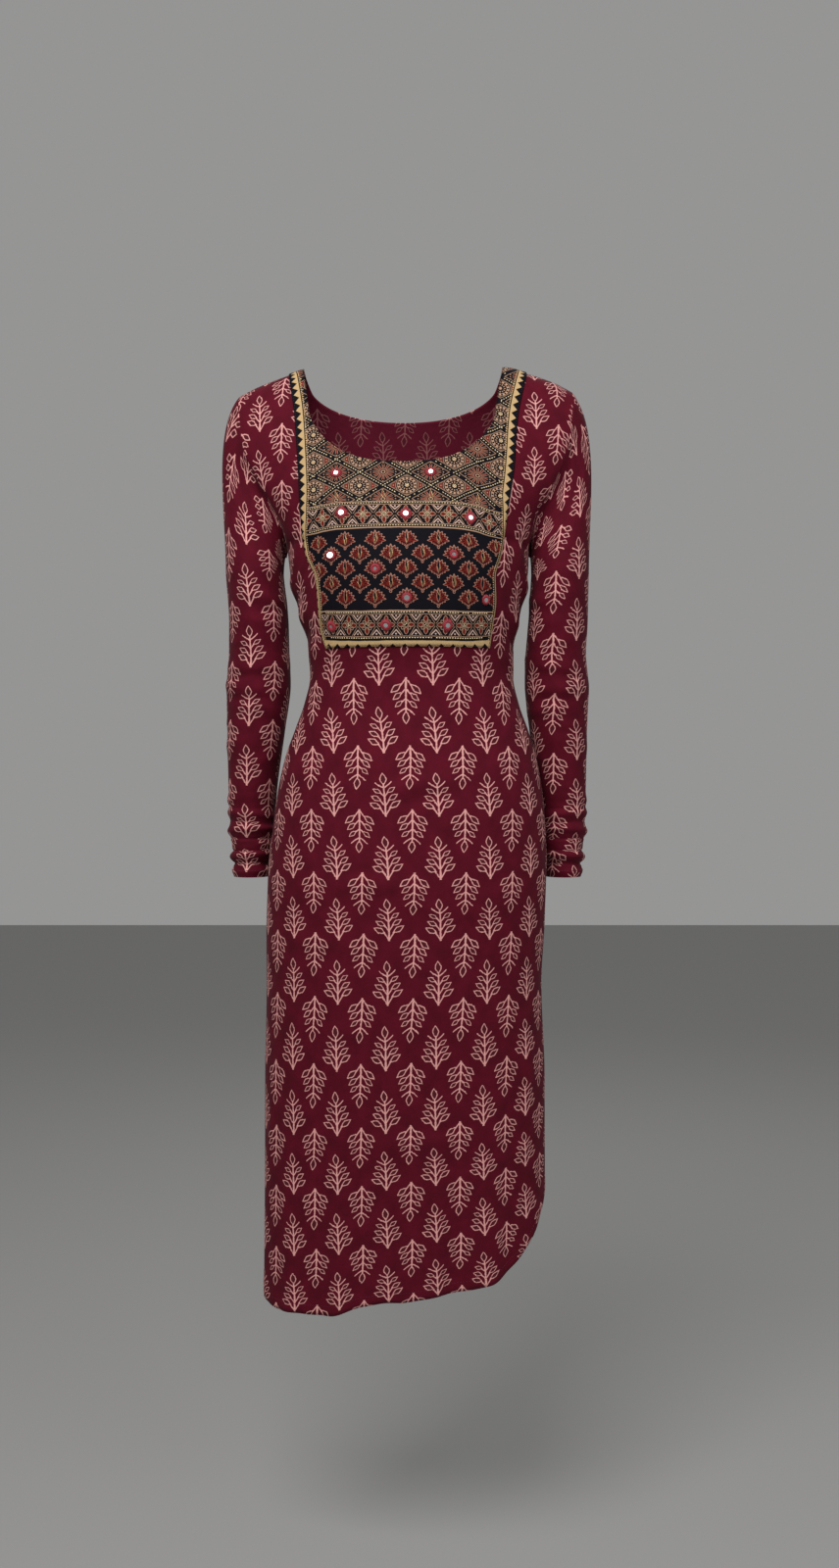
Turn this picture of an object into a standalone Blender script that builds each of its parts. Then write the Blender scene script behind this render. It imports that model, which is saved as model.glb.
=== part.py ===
"""A kurta tunic as it is worn, hollow: a front and a back panel cut from shoulder to hem, two long
set-in sleeves gathered at the wrist, and a printed bib yoke with small round mirrors.

Metres. The origin is midway between the two points where the shoulders meet the neck, +Z is up
and the front faces -Y. A place on a panel is given by its turn, the angle round the body from the
panel's middle towards +X, and its drop, the depth below the origin.
"""

import math

import bpy
import numpy as np
from mathutils import Vector
from mathutils.bvhtree import BVHTree

# Cloth
CLOTH = 0.0018  # wall of the panels and sleeves
YOKE_CLOTH = 0.0014
SEAM_GAP = 0.0004  # between two pieces that are sewn together
LAID_GAP = 0.0003  # under a piece that lies on another

# Cut
ARMHOLE_BOTTOM = 0.215
YOKE_BOTTOM = 0.338
NECK_CENTRE = -0.003
NECK_HALF_WIDTH = 0.1185
FRONT_NECK_DEPTH = 0.1235
BACK_NECK_DEPTH = 0.048
FRONT_NECK_SQUARENESS = 2.55  # 2 is a plain oval scoop
BACK_NECK_SQUARENESS = 2.2
BACK_RIDGE_RISE = 0.004  # how far the back panel stands over the shoulder seam
BACK_RIDGE_DROP = 0.02

# Grid: how many strips of cloth each stretch is modelled in
ARMHOLE_SHARES = (0.0, 0.04, 0.12, 0.24, 0.38, 0.54, 0.70, 0.84, 0.94, 1.0)
ARMPIT_SHARE = 0.6  # of the way that the columns take to spread out below the neck
WAIST_STRIPS = 6  # from the armpit to the foot of the yoke
FRONT_SKIRT_STRIPS = 17
BACK_SKIRT_STRIPS = 14
SIDE_SHARES = (0.0, 0.2, 0.45, 0.72)  # from the side to the edge of the yoke
STRAP_SHARES = (0.0, 0.5)
FRONT_NECK_STRIPS = 12
BACK_NECK_STRIPS = 10
BACK_SHOULDER_STRIPS = 4
CAP_STRIPS = 7  # from the armhole to the round upper arm
ARM_STRIPS = 7
WRIST_STRIPS = 15

RIGHT_ANGLE = math.pi / 2

# The body's outline from the front
BODY = (
    # drop, centre, half_width
    (0.000, 0.000, 0.199),
    (0.032, 0.000, 0.199),
    (0.065, 0.000, 0.196),
    (0.100, 0.000, 0.191),
    (0.139, 0.001, 0.175),
    (0.165, 0.001, 0.160),
    (0.190, 0.002, 0.149),
    (0.215, 0.003, 0.145),
    (0.240, 0.004, 0.143),
    (0.294, 0.005, 0.132),
    (0.326, 0.006, 0.124),
    (0.366, 0.007, 0.122),
    (0.400, 0.007, 0.129),
    (0.428, 0.007, 0.139),
    (0.465, 0.006, 0.151),
    (0.510, 0.005, 0.1595),
    (0.555, 0.004, 0.164),
    (0.598, 0.002, 0.167),
    (0.656, 0.000, 0.167),
    (0.734, -0.002, 0.165),
    (0.850, -0.001, 0.168),
    (0.968, -0.001, 0.168),
    (1.120, -0.001, 0.169),
)

# How far the front stands from the mid-plane, at its middle and at its edges, and how square its
# section is: a power of 1 is an ellipse, less is squarer
FRONT = (
    # drop, middle, edge, power
    (0.000, 0.010, 0.010, 1.6),
    (0.008, 0.027, 0.022, 1.6),
    (0.022, 0.042, 0.032, 1.6),
    (0.050, 0.058, 0.040, 1.6),
    (0.090, 0.072, 0.045, 1.5),
    (0.125, 0.083, 0.044, 1.4),
    (0.155, 0.094, 0.040, 1.25),
    (0.185, 0.105, 0.031, 1.1),
    (0.203, 0.110, 0.019, 1.0),
    (0.215, 0.113, 0.000, 0.95),
    (0.245, 0.118, 0.000, 0.90),
    (0.290, 0.115, 0.000, 0.90),
    (0.326, 0.107, 0.000, 0.92),
    (0.366, 0.098, 0.000, 0.95),
    (0.400, 0.097, 0.000, 0.95),
    (0.428, 0.100, 0.000, 0.95),
    (0.465, 0.106, 0.000, 0.92),
    (0.510, 0.112, 0.000, 0.90),
    (0.598, 0.115, 0.000, 0.90),
    (0.656, 0.112, 0.000, 0.90),
    (0.734, 0.108, 0.000, 0.92),
    (0.850, 0.100, 0.000, 0.95),
    (0.968, 0.092, 0.005, 1.00),
    (1.120, 0.084, 0.009, 1.00),
)

# The same for the back
BACK = (
    # drop, middle, edge, power
    (0.000, -0.010, -0.010, 1.6),
    (0.006, 0.014, 0.010, 1.6),
    (0.020, 0.036, 0.026, 1.6),
    (0.045, 0.056, 0.040, 1.6),
    (0.080, 0.073, 0.050, 1.5),
    (0.120, 0.087, 0.055, 1.4),
    (0.155, 0.097, 0.050, 1.25),
    (0.185, 0.101, 0.037, 1.1),
    (0.203, 0.103, 0.022, 1.0),
    (0.215, 0.103, 0.000, 0.95),
    (0.245, 0.103, 0.000, 0.90),
    (0.290, 0.100, 0.000, 0.90),
    (0.326, 0.094, 0.000, 0.92),
    (0.366, 0.086, 0.000, 0.95),
    (0.400, 0.086, 0.000, 0.95),
    (0.428, 0.093, 0.000, 0.95),
    (0.465, 0.104, 0.000, 0.92),
    (0.510, 0.115, 0.000, 0.90),
    (0.598, 0.121, 0.000, 0.90),
    (0.656, 0.119, 0.000, 0.90),
    (0.734, 0.115, 0.000, 0.92),
    (0.850, 0.111, 0.000, 0.95),
    (0.968, 0.108, 0.006, 1.00),
    (1.120, 0.105, 0.011, 1.00),
)

# The shoulder line, which is worn a little higher on the +X side
SHOULDER = (
    # out, left_drop, right_drop
    (0.000, -0.004, -0.004),
    (0.1185, 0.000, -0.002),
    (0.146, 0.0085, 0.0045),
    (0.179, 0.0215, 0.0160),
    (0.199, 0.032, 0.0265),
)

# The yoke's two long edges
YOKE_EDGES = (
    # drop, left, right
    (0.008, -0.139, 0.144),
    (0.066, -0.1295, 0.1315),
    (0.130, -0.1245, 0.126),
    (0.190, -0.1206, 0.1165),
    (0.230, -0.1146, 0.1105),
    (0.257, -0.1030, 0.1030),
    (0.284, -0.1005, 0.1040),
    (0.312, -0.0989, 0.1005),
    (0.338, -0.0915, 0.0970),
)

# The hems, whose corners are rounded off at the side slits, more on the +X side
FRONT_HEM = (
    # turn in degrees, drop
    (-90, 1.088),
    (-82, 1.105),
    (-57, 1.1138),
    (-32, 1.1130),
    (-16, 1.0990),
    (5, 1.0910),
    (22, 1.0830),
    (36, 1.0780),
    (47, 1.0620),
    (57, 1.0430),
    (67, 1.0190),
    (78, 0.9950),
    (90, 0.9750),
)
BACK_HEM = (
    # turn in degrees, drop
    (-90, 1.086),
    (-80, 1.100),
    (-50, 1.104),
    (-20, 1.098),
    (10, 1.090),
    (35, 1.080),
    (50, 1.062),
    (65, 1.026),
    (78, 0.997),
    (90, 0.975),
)

# The largest folds of each panel: soft ridges that stand out of it
FRONT_FOLDS = (
    # turn in degrees, drop, slope in degrees, half_length, half_width, height
    (2, 0.497, 11, 0.055, 0.010, 0.0028),
    (-20, 0.470, -8, 0.040, 0.011, 0.0018),
    (-12, 0.612, -4, 0.060, 0.013, 0.0022),
    (20, 0.640, 3, 0.050, 0.014, 0.0016),
    (8, 0.905, 3, 0.070, 0.014, 0.0018),
    (80, 0.262, -18, 0.026, 0.010, 0.0042),
    (76, 0.306, -14, 0.028, 0.010, 0.0036),
    (70, 0.352, -10, 0.030, 0.010, 0.0026),
    (-80, 0.258, 18, 0.026, 0.010, 0.0038),
    (-76, 0.296, 16, 0.028, 0.010, 0.0034),
    (-70, 0.340, 12, 0.030, 0.011, 0.0026),
    (-66, 0.226, 42, 0.026, 0.009, 0.0024),
    (64, 0.224, -42, 0.026, 0.009, 0.0024),
)
BACK_FOLDS = (
    # turn in degrees, drop, slope in degrees, half_length, half_width, height
    (-6, 0.345, 3, 0.085, 0.011, 0.0036),
    (9, 0.378, -4, 0.070, 0.010, 0.0032),
    (-14, 0.405, 5, 0.055, 0.010, 0.0022),
    (74, 0.300, -20, 0.030, 0.011, 0.0034),
    (-72, 0.292, 20, 0.030, 0.011, 0.0032),
    (58, 0.222, -38, 0.034, 0.010, 0.0026),
    (-60, 0.228, 38, 0.034, 0.010, 0.0026),
    (0, 0.640, 2, 0.060, 0.014, 0.0018),
)

# The sleeves: an oval section that hangs beside the body, wide to the front and the back
SLEEVE = (
    # drop, left_x, right_x, y, half_width, half_depth
    (0.245, -0.1815, 0.1855, 0.000, 0.0345, 0.052),
    (0.304, -0.1773, 0.1835, 0.007, 0.0357, 0.050),
    (0.340, -0.1775, 0.1815, 0.013, 0.0365, 0.049),
    (0.376, -0.1785, 0.1830, 0.018, 0.0385, 0.047),
    (0.430, -0.1825, 0.1855, 0.026, 0.0350, 0.043),
    (0.4956, -0.1870, 0.1900, 0.034, 0.0300, 0.037),
    (0.520, -0.1880, 0.1910, 0.037, 0.0285, 0.035),
    (0.545, -0.1885, 0.1920, 0.040, 0.0270, 0.034),
    (0.570, -0.1890, 0.1925, 0.042, 0.0245, 0.0325),
    (0.596, -0.1895, 0.1930, 0.043, 0.0220, 0.031),
    (0.609, -0.1898, 0.1930, 0.044, 0.0212, 0.0305),
)
WRIST_TOP = 0.515
ARM_TOP = SLEEVE[0][0]
SLEEVE_END = SLEEVE[-1][0]
CAP_PULL = 0.73  # how strongly the sleeve cap leaves the seam outwards
CAP_DOWN = 0.6  # how far it turns down as it leaves

# Folds round the sleeves: rings pushed up at the wrist, and shorter creases at the elbow and armpit.
# round is the angle from the outer side to the front, and reach is how far round a fold goes.
SLEEVE_FOLDS = (
    # drop, round in degrees, reach in degrees, slant, half_width, height
    (0.268, 110, 50, 0.010, 0.008, 0.0030),
    (0.300, 100, 40, -0.008, 0.008, 0.0020),
    (0.352, 80, 55, 0.006, 0.007, 0.0026),
    (0.378, 60, 60, -0.006, 0.007, 0.0030),
    (0.404, 95, 50, 0.005, 0.007, 0.0022),
    (0.448, 40, 60, 0.006, 0.008, 0.0016),
    (0.512, 20, 80, 0.004, 0.006, 0.0022),
    (0.5335, 0, 360, 0.0035, 0.0055, 0.0026),
    (0.552, 0, 360, -0.0030, 0.0060, 0.0042),
    (0.568, 160, 90, 0.0030, 0.0045, 0.0024),
    (0.583, 0, 360, 0.0025, 0.0055, 0.0042),
    (0.6005, 0, 360, -0.0020, 0.0045, 0.0022),
)

# The mirrors sewn on the yoke
MIRRORS = (
    # x, drop
    (-0.0797, 0.1370),
    (0.0293, 0.1370),
    (-0.0726, 0.1850),
    (0.0007, 0.1880),
    (0.0745, 0.1910),
    (-0.0842, 0.2340),
    (0.0548, 0.2350),
    (-0.0333, 0.2510),
    (0.0020, 0.2840),
    (0.0915, 0.2840),
    (-0.0840, 0.3130),
    (-0.0213, 0.3140),
    (0.0480, 0.3140),
)
MIRROR_RADIUS = 0.0040
MIRROR_THICKNESS = 0.0010
MIRROR_SIDES = 12
MIRROR_HELD_OFF = 0.01  # where each mirror starts from before it is laid on the yoke

MAROON = (0.135, 0.011, 0.031)
BLACK = (0.012, 0.010, 0.011)
SILVER = (0.62, 0.62, 0.62)


def clear_scene():
    for item in list(bpy.data.objects):
        bpy.data.objects.remove(item, do_unlink=True)


def finish(name, colour, roughness, metallic=0.0):
    """A plain material of one colour."""
    material = bpy.data.materials.new(name)
    material.use_nodes = True
    shader = material.node_tree.nodes["Principled BSDF"]
    shader.inputs["Base Color"].default_value = (*colour, 1.0)
    shader.inputs["Roughness"].default_value = roughness
    shader.inputs["Metallic"].default_value = metallic
    return material


def add_mesh(name, points, faces, material):
    """A smooth-shaded object of these points and faces."""
    mesh = bpy.data.meshes.new(name)
    mesh.from_pydata([tuple(point) for point in points], [], faces)
    mesh.materials.append(material)
    mesh.shade_smooth()
    mesh.update()
    piece = bpy.data.objects.new(name, mesh)
    bpy.context.scene.collection.objects.link(piece)
    return piece


def smooth_curve(table, column, at):
    """A column of a table read as a curve of its first column that never overshoots its rows."""
    rows = np.array(table, float)
    places, values = rows[:, 0], rows[:, column]
    steps = np.diff(values) / np.diff(places)
    slopes = np.zeros(len(values))
    slopes[0], slopes[-1] = steps[0], steps[-1]
    before, after = steps[:-1], steps[1:]
    rising = before * after > 0
    slopes[1:-1][rising] = 2 * before[rising] * after[rising] / (before + after)[rising]
    at = np.clip(at, places[0], places[-1])
    row = np.clip(np.searchsorted(places, at) - 1, 0, len(places) - 2)
    span = places[row + 1] - places[row]
    share = (at - places[row]) / span
    left = 1 - share
    return (
        left**2 * (1 + 2 * share) * values[row]
        + share**2 * (1 + 2 * left) * values[row + 1]
        + share * left * span * (left * slopes[row] - share * slopes[row + 1])
    )


def unit(vectors):
    return vectors / np.linalg.norm(vectors, axis=-1, keepdims=True)


def shoulder_drop(x):
    """The drop of the shoulder line at a place across."""
    return np.where(x < 0, smooth_curve(SHOULDER, 1, -x), smooth_curve(SHOULDER, 2, x))


def below_shoulder(x, drop):
    """The drop measured from the shoulder line over the chest, and from the origin below it."""
    line = shoulder_drop(x)
    return np.where(drop < ARMHOLE_BOTTOM, (drop - line) * ARMHOLE_BOTTOM / (ARMHOLE_BOTTOM - line), drop)


def panel_point(panel, side, turn, drop):
    """Where a turn and a drop lie on the front, side -1, or on the back, side 1, before its folds."""
    x = smooth_curve(BODY, 1, drop) + smooth_curve(BODY, 2, drop) * np.sin(turn)
    level = below_shoulder(x, drop)
    middle = smooth_curve(panel, 1, level)
    edge = smooth_curve(panel, 2, level)
    power = smooth_curve(panel, 3, level)
    depth = edge + (middle - edge) * np.clip(np.cos(turn), 0, 1) ** power
    rise = 0.0
    if side > 0:
        rise = BACK_RIDGE_RISE * np.sin(np.pi * np.clip(level / BACK_RIDGE_DROP, 0, 1))
    return np.stack([x, side * (depth + SEAM_GAP / 2), rise - drop], axis=-1)


def fold_height(folds, turn, drop):
    """How far the folds lift the cloth out of its plain form."""
    round_body = 0.14  # metres of cloth for each radian of turn
    height = np.zeros(np.shape(turn))
    for fold_turn, fold_drop, slope, half_length, half_width, fold in folds:
        across = (turn - math.radians(fold_turn)) * round_body
        up = fold_drop - drop
        tilt = math.radians(slope)
        along = (across * math.cos(tilt) + up * math.sin(tilt)) / half_length
        beside = (up * math.cos(tilt) - across * math.sin(tilt)) / half_width
        height = height + fold * np.exp(-(along**2) - beside**2)
    return height


def panel_surface(panel, side, folds, turn, drop):
    """The points of a panel, folds included, and the way that its cloth faces there."""
    small_turn, small_drop = 0.01, 0.001
    inset = np.clip(turn, small_turn - RIGHT_ANGLE, RIGHT_ANGLE - small_turn)
    one_way, other_way = (panel_point(panel, side, inset + by, drop) for by in (small_turn, -small_turn))
    across = one_way - other_way
    down = panel_point(panel, side, inset, drop + small_drop) - panel_point(panel, side, inset, drop)
    facing = unit(np.cross(across, down) * side)
    points = panel_point(panel, side, turn, drop)
    on_side_seam = (np.abs(turn) > RIGHT_ANGLE - 1e-6) & (drop >= ARMHOLE_BOTTOM - 1e-6)
    on_shoulder_seam = below_shoulder(points[..., 0], drop) < 1e-5
    facing[on_side_seam | on_shoulder_seam, 1] = 0
    facing = unit(facing)
    return points + facing * fold_height(folds, turn, drop)[..., None], facing


def scoop(depth, squareness, strips):
    """A neckline as places across and drops, from the -X shoulder to the +X shoulder."""
    angles = np.linspace(0, np.pi, strips + 1)
    along = np.cos(angles)
    across = NECK_CENTRE - NECK_HALF_WIDTH * np.sign(along) * np.abs(along) ** (2 / squareness)
    ends = shoulder_drop(NECK_CENTRE - NECK_HALF_WIDTH * np.sign(along))
    return across, ends + (depth - ends) * np.sin(angles).clip(0) ** (2 / squareness)


def turn_at(x, drop):
    """The turn at which a panel passes a place across."""
    share = (x - smooth_curve(BODY, 1, drop)) / smooth_curve(BODY, 2, drop)
    return np.arcsin(np.clip(share, -1, 1))


def shoulder_columns(turns):
    """The drops at which columns end on the shoulder seam, from their turns there."""
    return shoulder_drop(smooth_curve(BODY, 2, 0.0) * np.sin(turns))


def grid_of(top_turns, top_drops, foot_turns, hem, skirt_strips, edges=None):
    """Turns and drops of a panel's grid: rows run from its top edge to its hem, columns along +X.

    One row lies at the armpits and one at the foot of the yoke.
    """
    shares = np.array(ARMHOLE_SHARES)[:, None]
    waist_shares = np.linspace(0, 1, WAIST_STRIPS + 1)[1:, None]
    chest = top_drops + (ARMHOLE_BOTTOM - top_drops) * shares
    waist = ARMHOLE_BOTTOM + (YOKE_BOTTOM - ARMHOLE_BOTTOM) * waist_shares * np.ones_like(top_drops)
    drops = np.concatenate([chest, waist])
    spread = np.concatenate([ARMPIT_SHARE * shares, ARMPIT_SHARE + (1 - ARMPIT_SHARE) * waist_shares])
    turns = top_turns + (foot_turns - top_turns) * spread
    if edges:
        turns = turns + edge_shift(turns, drops, edges)
    hem_rows = np.array(hem, float)
    hem_rows[:, 0] = np.radians(hem_rows[:, 0])
    hem_drops = smooth_curve(hem_rows, 1, foot_turns)
    share = np.linspace(0, 1, skirt_strips + 1)[1:, None]
    skirt_drops = YOKE_BOTTOM + (hem_drops - YOKE_BOTTOM) * share
    skirt_turns = np.broadcast_to(foot_turns, skirt_drops.shape)
    return np.concatenate([turns, skirt_turns]), np.concatenate([drops, skirt_drops])


def edge_shift(turns, drops, edges):
    """Moves the columns so that two of them follow the yoke's long edges and the side ones stay."""
    left, right = edges
    shifts = []
    for column, table_column in ((left, 1), (right, 2)):
        wanted = turn_at(smooth_curve(YOKE_EDGES, table_column, drops[:, column]), drops[:, column])
        shifts.append(wanted - turns[:, column])
    count = turns.shape[1]
    at = np.arange(count)
    return np.array([np.interp(at, (0, left, right, count - 1), (0, a, b, 0)) for a, b in zip(*shifts)])


def front_grid():
    """The front's turns and drops, and the columns that are the yoke's edges."""
    across, neck_drops = scoop(FRONT_NECK_DEPTH, FRONT_NECK_SQUARENESS, FRONT_NECK_STRIPS)
    neck_turns = turn_at(across, neck_drops)
    width = smooth_curve(BODY, 2, 0.0)
    yoke_turns = [math.asin(YOKE_EDGES[0][1] / width), math.asin(YOKE_EDGES[0][2] / width)]
    side = np.array(SIDE_SHARES)
    strap = np.array(STRAP_SHARES)
    left = np.concatenate([
        -RIGHT_ANGLE + (yoke_turns[0] + RIGHT_ANGLE) * side,
        yoke_turns[0] + (neck_turns[0] - yoke_turns[0]) * strap,
    ])
    right = np.concatenate([
        RIGHT_ANGLE + (yoke_turns[1] - RIGHT_ANGLE) * side,
        yoke_turns[1] + (neck_turns[-1] - yoke_turns[1]) * strap,
    ])[::-1]
    top_turns = np.concatenate([left, neck_turns, right])
    top_drops = np.concatenate([shoulder_columns(left), neck_drops, shoulder_columns(right)])
    foot = [turn_at(YOKE_EDGES[-1][column], YOKE_BOTTOM) for column in (1, 2)]
    yoke_strips = FRONT_NECK_STRIPS + 2 * len(STRAP_SHARES)
    foot_turns = np.concatenate([
        -RIGHT_ANGLE + (foot[0] + RIGHT_ANGLE) * side,
        np.linspace(foot[0], foot[1], yoke_strips + 1),
        (RIGHT_ANGLE + (foot[1] - RIGHT_ANGLE) * side)[::-1],
    ])
    edges = (len(side), len(side) + yoke_strips)
    return *grid_of(top_turns, top_drops, foot_turns, FRONT_HEM, FRONT_SKIRT_STRIPS, edges), edges


def back_grid():
    """The back's turns and drops."""
    across, neck_drops = scoop(BACK_NECK_DEPTH, BACK_NECK_SQUARENESS, BACK_NECK_STRIPS)
    neck_turns = turn_at(across, neck_drops)
    left = np.linspace(-RIGHT_ANGLE, neck_turns[0], BACK_SHOULDER_STRIPS + 1)[:-1]
    top_turns = np.concatenate([left, neck_turns, -left[::-1]])
    top_drops = np.concatenate([shoulder_columns(left), neck_drops, shoulder_columns(-left[::-1])])
    foot_turns = np.linspace(-RIGHT_ANGLE, RIGHT_ANGLE, len(top_turns))
    return grid_of(top_turns, top_drops, foot_turns, BACK_HEM, BACK_SKIRT_STRIPS)


def cloth_wall(name, outer, facing, thickness, material, flip, tube=False):
    """A closed wall: a grid of points, the same grid moved inwards, and rims along the open edges.

    A tube's columns close on themselves. flip is for a grid whose rows and columns run the other
    way round, seen from outside.
    """
    rows, columns = outer.shape[:2]
    points = np.concatenate([outer.reshape(-1, 3), (outer - facing * thickness).reshape(-1, 3)])
    count = rows * columns
    faces = []

    def corners(row, column):
        return row * columns + column % columns

    for row in range(rows - 1):
        for column in range(columns if tube else columns - 1):
            a = corners(row, column)
            b = corners(row, column + 1)
            c = corners(row + 1, column + 1)
            d = corners(row + 1, column)
            for triangle in ((a, b, c), (a, c, d)):
                faces.append(triangle[::-1])
                faces.append(tuple(corner + count for corner in triangle))
    edges = []
    for column in range(columns if tube else columns - 1):
        edges.append((corners(0, column), corners(0, column + 1)))
        edges.append((corners(rows - 1, column + 1), corners(rows - 1, column)))
    if not tube:
        for row in range(rows - 1):
            edges.append((corners(row + 1, 0), corners(row, 0)))
            edges.append((corners(row, columns - 1), corners(row + 1, columns - 1)))
    for a, b in edges:
        faces.append((a, b, b + count))
        faces.append((a, b + count, a + count))
    if flip:
        faces = [face[::-1] for face in faces]
    return add_mesh(name, points, faces, material)


def armhole_loop(front, back, column):
    """The armhole's points and the way that the panels face along it, from the top round the front."""
    last = len(ARMHOLE_SHARES) - 1
    rows = []
    for part in (0, 1):
        ahead, behind = front[part][:, column], back[part][:, column]
        top = (ahead[0] + behind[0]) / 2
        foot = (ahead[last] + behind[last]) / 2
        rows.append(np.concatenate([[top], ahead[1:last], [foot], behind[last - 1 : 0 : -1]]))
    return rows[0], unit(rows[1])


def sleeve_fold_height(drop, angle, turned):
    """How far the sleeve's folds lift its cloth."""
    height = np.zeros(np.broadcast(drop, angle).shape)
    for fold_drop, middle, reach, slant, half_width, fold in SLEEVE_FOLDS:
        away = (angle - math.radians(middle + turned) + np.pi) % (2 * np.pi) - np.pi
        beside = (drop - fold_drop - slant * np.sin(angle + fold_drop * 90)) / half_width
        around = np.exp(-((away / math.radians(reach)) ** 2)) if reach < 360 else 1.0
        height = height + fold * around * np.exp(-(beside**2))
    return height


def sleeve(name, front, back, side, material):
    """A set-in sleeve: it leaves the armhole's own points, turns down and hangs to the wrist."""
    loop, panel_facing = armhole_loop(front, back, 0 if side < 0 else -1)
    along = np.roll(loop, -1, axis=0) - np.roll(loop, 1, axis=0)
    away = unit(np.cross(along, panel_facing)) * -side
    start = loop + away * SEAM_GAP

    last = len(ARMHOLE_SHARES) - 1
    steps = np.linalg.norm(np.roll(loop, -1, axis=0) - loop, axis=1)
    ahead = np.cumsum(steps[:last]) / steps[:last].sum()
    behind = np.cumsum(steps[last:]) / steps[last:].sum()
    angle = np.pi * np.concatenate([[0.0], ahead, 1 + behind[:-1]])

    drop = np.concatenate([
        np.linspace(ARM_TOP, WRIST_TOP, ARM_STRIPS + 1),
        np.linspace(WRIST_TOP, SLEEVE_END, WRIST_STRIPS + 1)[1:],
    ])[:, None]
    centre = smooth_curve(SLEEVE, 1 if side < 0 else 2, drop)
    y, half_width, half_depth = (smooth_curve(SLEEVE, column, drop) for column in (3, 4, 5))
    turned = 0 if side < 0 else 25
    lift = sleeve_fold_height(drop, angle, turned)
    arm = np.stack([
        centre + side * (half_width + lift) * np.cos(angle),
        y - (half_depth + lift) * np.sin(angle),
        -drop * np.ones_like(angle),
    ], axis=-1)

    reach = np.linalg.norm(arm[0] - start, axis=1)[:, None]
    down = np.array([0, 0, -1.0])
    turn_down = CAP_DOWN * (0.5 + 0.5 * np.cos(angle))[:, None]
    leave = unit(away + down * turn_down) * reach * CAP_PULL
    arrive = down * reach
    share = np.linspace(0, 1, CAP_STRIPS + 1)[:-1, None, None]
    left = 1 - share
    cap = (
        left**2 * (1 + 2 * share) * start
        + share**2 * (1 + 2 * left) * arm[0]
        + share * left * (left * leave - share * arrive)
    )

    outer = np.concatenate([cap, arm])
    around = np.roll(outer, -1, axis=1) - np.roll(outer, 1, axis=1)
    along = np.gradient(outer, axis=0)
    facing = unit(np.cross(along, around)) * -side
    facing[0] = panel_facing
    return cloth_wall(name, outer, facing, CLOTH, material, flip=side > 0, tube=True)


def mirror(name, x, drop, yoke, material):
    """A small round mirror that lies on the yoke: it is lowered until its rim or middle would touch."""
    turn = turn_at(x, drop)
    points, facings = panel_surface(FRONT, -1, FRONT_FOLDS, np.array([turn]), np.array([drop]))
    facing = facings[0]
    across = unit(np.cross(facing, (0, 0, 1.0)))
    up = np.cross(across, facing)
    angles = np.linspace(0, 2 * np.pi, MIRROR_SIDES, endpoint=False)[:, None]
    ring = MIRROR_RADIUS * (across * np.cos(angles) + up * np.sin(angles))
    held_off = points[0] + facing * MIRROR_HELD_OFF
    falls = [yoke.ray_cast(Vector(held_off + point), Vector(-facing))[3] for point in (0 * facing, *ring)]
    seat = held_off + facing * (LAID_GAP - min(falls))
    points = np.concatenate([ring, ring + facing * MIRROR_THICKNESS]) + seat
    count = MIRROR_SIDES
    faces = [tuple(range(count)), tuple(range(2 * count - 1, count - 1, -1))]
    for a in range(count):
        b = (a + 1) % count
        faces.append((b, a, a + count, b + count))
    return add_mesh(name, points, faces, material)


def build():
    clear_scene()
    cotton = finish("maroon_cotton", MAROON, 0.85)
    yoke_cotton = finish("black_yoke_cotton", BLACK, 0.8)
    glass = finish("mirror_glass", SILVER, 0.1, 1.0)

    turns, drops, (left, right) = front_grid()
    front = panel_surface(FRONT, -1, FRONT_FOLDS, turns, drops)
    cloth_wall("front", *front, CLOTH, cotton, flip=False)

    foot = len(ARMHOLE_SHARES) + WAIST_STRIPS
    points, facing = (part[:foot, left : right + 1] for part in front)
    yoke_points = points + facing * (LAID_GAP + YOKE_CLOTH)
    yoke = cloth_wall("yoke", yoke_points, facing, YOKE_CLOTH, yoke_cotton, flip=False)

    turns, drops = back_grid()
    back = panel_surface(BACK, 1, BACK_FOLDS, turns, drops)
    cloth_wall("back", *back, CLOTH, cotton, flip=True)

    sleeve("sleeve_left", front, back, -1, cotton)
    sleeve("sleeve_right", front, back, 1, cotton)

    yoke_surface = BVHTree.FromObject(yoke, bpy.context.evaluated_depsgraph_get())
    for number, (x, drop) in enumerate(MIRRORS, 1):
        mirror(f"mirror_{number:02d}", x, drop, yoke_surface, glass)


build()
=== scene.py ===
"""The look of a kurta tunic as it is worn: maroon cotton block-printed with pale sprigs, and a black
printed bib yoke with gold beads and small mirrors. Metres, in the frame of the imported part: the
origin is midway between the shoulders at the neck, +Z is up and the front faces -Y.
"""
import math

import bmesh
import bpy
import numpy as np
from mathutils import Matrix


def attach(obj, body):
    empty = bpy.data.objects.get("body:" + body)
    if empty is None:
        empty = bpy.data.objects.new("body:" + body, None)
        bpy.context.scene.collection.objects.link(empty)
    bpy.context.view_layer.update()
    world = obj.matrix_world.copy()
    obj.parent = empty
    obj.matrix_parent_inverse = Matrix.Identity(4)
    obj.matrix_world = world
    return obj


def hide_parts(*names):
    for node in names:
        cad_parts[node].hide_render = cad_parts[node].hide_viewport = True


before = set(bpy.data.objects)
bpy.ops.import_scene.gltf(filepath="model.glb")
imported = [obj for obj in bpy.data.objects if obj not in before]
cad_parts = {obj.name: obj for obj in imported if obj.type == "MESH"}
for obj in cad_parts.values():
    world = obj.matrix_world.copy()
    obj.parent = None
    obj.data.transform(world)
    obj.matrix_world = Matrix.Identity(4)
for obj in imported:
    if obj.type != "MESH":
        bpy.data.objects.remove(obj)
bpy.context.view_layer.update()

# The setting: a pale floor under a pale grey surround, lit softly from above and in front, and a
# camera level with the tunic's middle, two metres in front of it.
FLOOR_DROP = 1.43
FLOOR_SIZE = 14
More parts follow.
